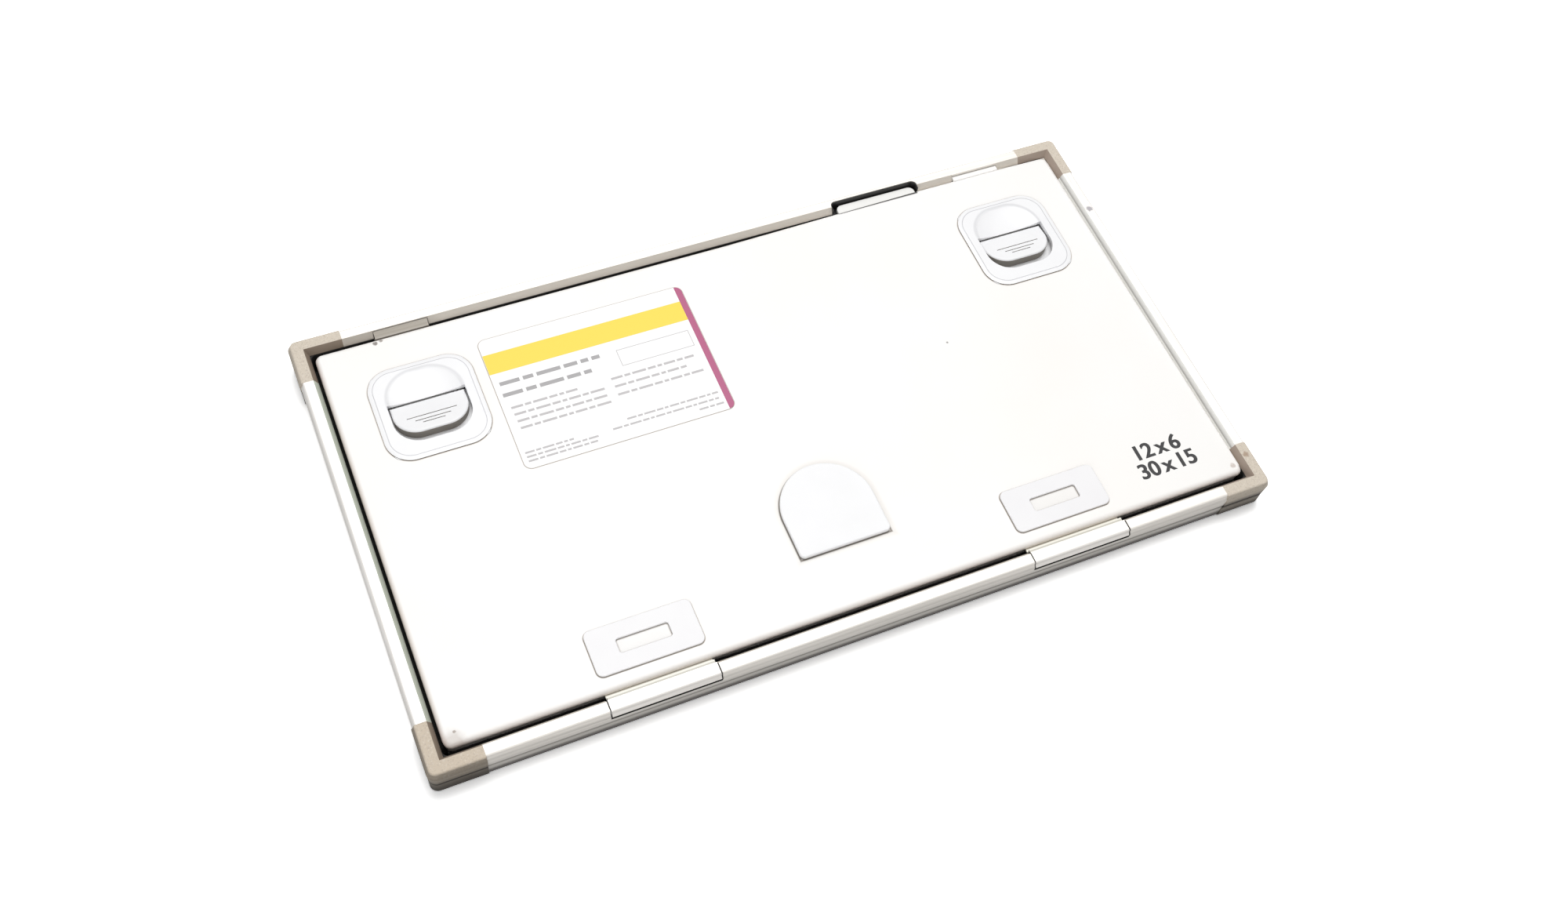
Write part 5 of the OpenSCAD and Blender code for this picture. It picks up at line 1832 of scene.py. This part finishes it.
@dataclass(frozen=True)
class Studio:
    """A white floor, a high soft light beyond the cassette, a weak low one and the camera."""

    camera_place: Place = (-178.8, -283.6, 531.5)
    camera_turn: Place = (30.989, -5.867, -23.079)
    lens: float = 36.94
    film_width: float = 36.0
    floor_size: float = 6000.0
    floor_drop: float = 0.1
    floor_seen: str = "#F2F2F2"
    floor_felt: str = "#B4B4B4"
    floor_sheen: float = 0.35
    burn_from: float = 450.0
    burn_to: float = 1000.0
    key_place: Place = (200.0, 430.0, 1540.0)
    key_size: float = 1000.0
    key_power: float = 16.0
    fill_place: Place = (-750.0, -850.0, 560.0)
    fill_size: float = 900.0
    fill_power: float = 3.6
    sky: float = 0.37

    def build(self) -> None:
        """Builds the camera, light, floor and world."""
        scene = bpy.context.scene
        scene.view_settings.view_transform = "Standard"
        self.build_camera(scene)
        self.build_lamp("key", self.key_place, self.key_size, self.key_power)
        self.build_lamp("fill", self.fill_place, self.fill_size, self.fill_power)
        self.build_floor()
        self.build_world(scene)

    def build_camera(self, scene: Scene) -> None:
        """Places the camera."""
        data = bpy.data.cameras.new("camera")
        data.lens = self.lens
        data.sensor_width = self.film_width
        data.clip_start = 0.01
        camera = bpy.data.objects.new("camera", data)
        camera.location = Vector(self.camera_place) * MM
        camera.rotation_euler = Euler([math.radians(a) for a in self.camera_turn])
        scene.collection.objects.link(camera)
        scene.camera = camera

    def build_lamp(self, name: str, place: Place, size: float, power: float) -> None:
        """Hangs one large soft lamp aimed at the cassette.

        Args:
            name: the lamp's name.
            place: where it hangs.
            size: its width and height.
            power: its power in watts.
        """
        data = bpy.data.lights.new(name, "AREA")
        data.size = size * MM
        data.energy = power
        lamp = bpy.data.objects.new(name, data)
        lamp.location = Vector(place) * MM
        lamp.rotation_euler = (-lamp.location).to_track_quat("-Z", "Y").to_euler()
        bpy.context.scene.collection.objects.link(lamp)

    def build_floor(self) -> None:
        """Lays the floor: burnt-out white to the eye, greyer to the light that it bounces."""
        shape = bmesh.new()
        bmesh.ops.create_grid(shape, x_segments=1, y_segments=1, size=self.floor_size * MM / 2)
        bmesh.ops.translate(shape, vec=(0, 0, -self.floor_drop * MM), verts=shape.verts)
        mesh = bpy.data.meshes.new("floor")
        shape.to_mesh(mesh)
        shape.free()
        floor = bpy.data.objects.new("floor", mesh)
        bpy.context.scene.collection.objects.link(floor)
        material = bpy.data.materials.new("studio_paper")
        material.use_nodes = True
        tree = material.node_tree
        tree.nodes.remove(tree.nodes["Principled BSDF"])
        # Two sheets added together give back twice the light, and burn out round the shadow.
        sheet = add_node(tree, "BsdfDiffuse", {"Color": linear(self.floor_seen)})
        again = add_node(tree, "BsdfDiffuse", {"Color": linear(self.floor_seen)})
        seen = add_node(tree, "AddShader", {}, {0: sheet.outputs[0], 1: again.outputs[0]})
        felt = add_node(tree, "BsdfDiffuse", {"Color": linear(self.floor_felt)})
        path = add_node(tree, "LightPath")
        sheen = add_node(
            tree, "Math", {"operation": "MULTIPLY", 1: self.floor_sheen},
            {0: path.outputs["Is Glossy Ray"]},
        )
        looked_at = add_node(
            tree, "Math", {"operation": "MAXIMUM"},
            {0: path.outputs["Is Camera Ray"], 1: sheen.outputs[0]},
        )
        paper = add_node(
            tree, "MixShader", {}, {0: looked_at.outputs[0], 1: felt.outputs[0], 2: seen.outputs[0]}
        )
        coordinates = add_node(tree, "TexCoord")
        away = add_node(
            tree, "VectorMath", {"operation": "LENGTH"}, {0: coordinates.outputs["Object"]}
        )
        far = add_node(
            tree, "MapRange", {1: self.burn_from * MM, 2: self.burn_to * MM, 3: 0.0, 4: 1.0},
            {0: away.outputs["Value"]},
        )
        burnt = add_node(
            tree, "Math", {"operation": "MULTIPLY"},
            {0: far.outputs[0], 1: path.outputs["Is Camera Ray"]},
        )
        glow = add_node(tree, "Emission", {"Color": linear("#FFFFFF"), "Strength": 1.0})
        sweep = add_node(
            tree, "MixShader", {}, {0: burnt.outputs[0], 1: paper.outputs[0], 2: glow.outputs[0]}
        )
        tree.links.new(sweep.outputs[0], tree.nodes["Material Output"].inputs["Surface"])
        mesh.materials.append(material)

    def build_world(self, scene: Scene) -> None:
        """Sets a soft sky that shows white to the camera and in reflections."""
        world = bpy.data.worlds.new("studio")
        world.use_nodes = True
        scene.world = world
        tree = world.node_tree
        path = add_node(tree, "LightPath")
        clear = add_node(
            tree, "Math", {"operation": "MAXIMUM"},
            {0: path.outputs["Is Camera Ray"], 1: path.outputs["Is Glossy Ray"]},
        )
        shown = add_node(
            tree, "Math", {"operation": "MAXIMUM"},
            {0: clear.outputs[0], 1: path.outputs["Is Transmission Ray"]},
        )
        level = add_node(
            tree, "MapRange", {1: 0.0, 2: 1.0, 3: self.sky, 4: 1.0}, {0: shown.outputs[0]}
        )
        tree.links.new(level.outputs[0], tree.nodes["Background"].inputs["Strength"])
        tree.nodes["Background"].inputs["Color"].default_value = linear("#FFFFFF")


def main() -> None:
    """Builds the cassette and its studio, in order."""
    logging.basicConfig(level=logging.INFO, format="%(name)s: %(message)s")
    Studio().build()
    CassetteFrame().build()
    Lid().build()
    for side in Side:
        Hinge(side).build()
        Latch(side).build()
    Print().build()


if __name__ == "__main__":
    main()
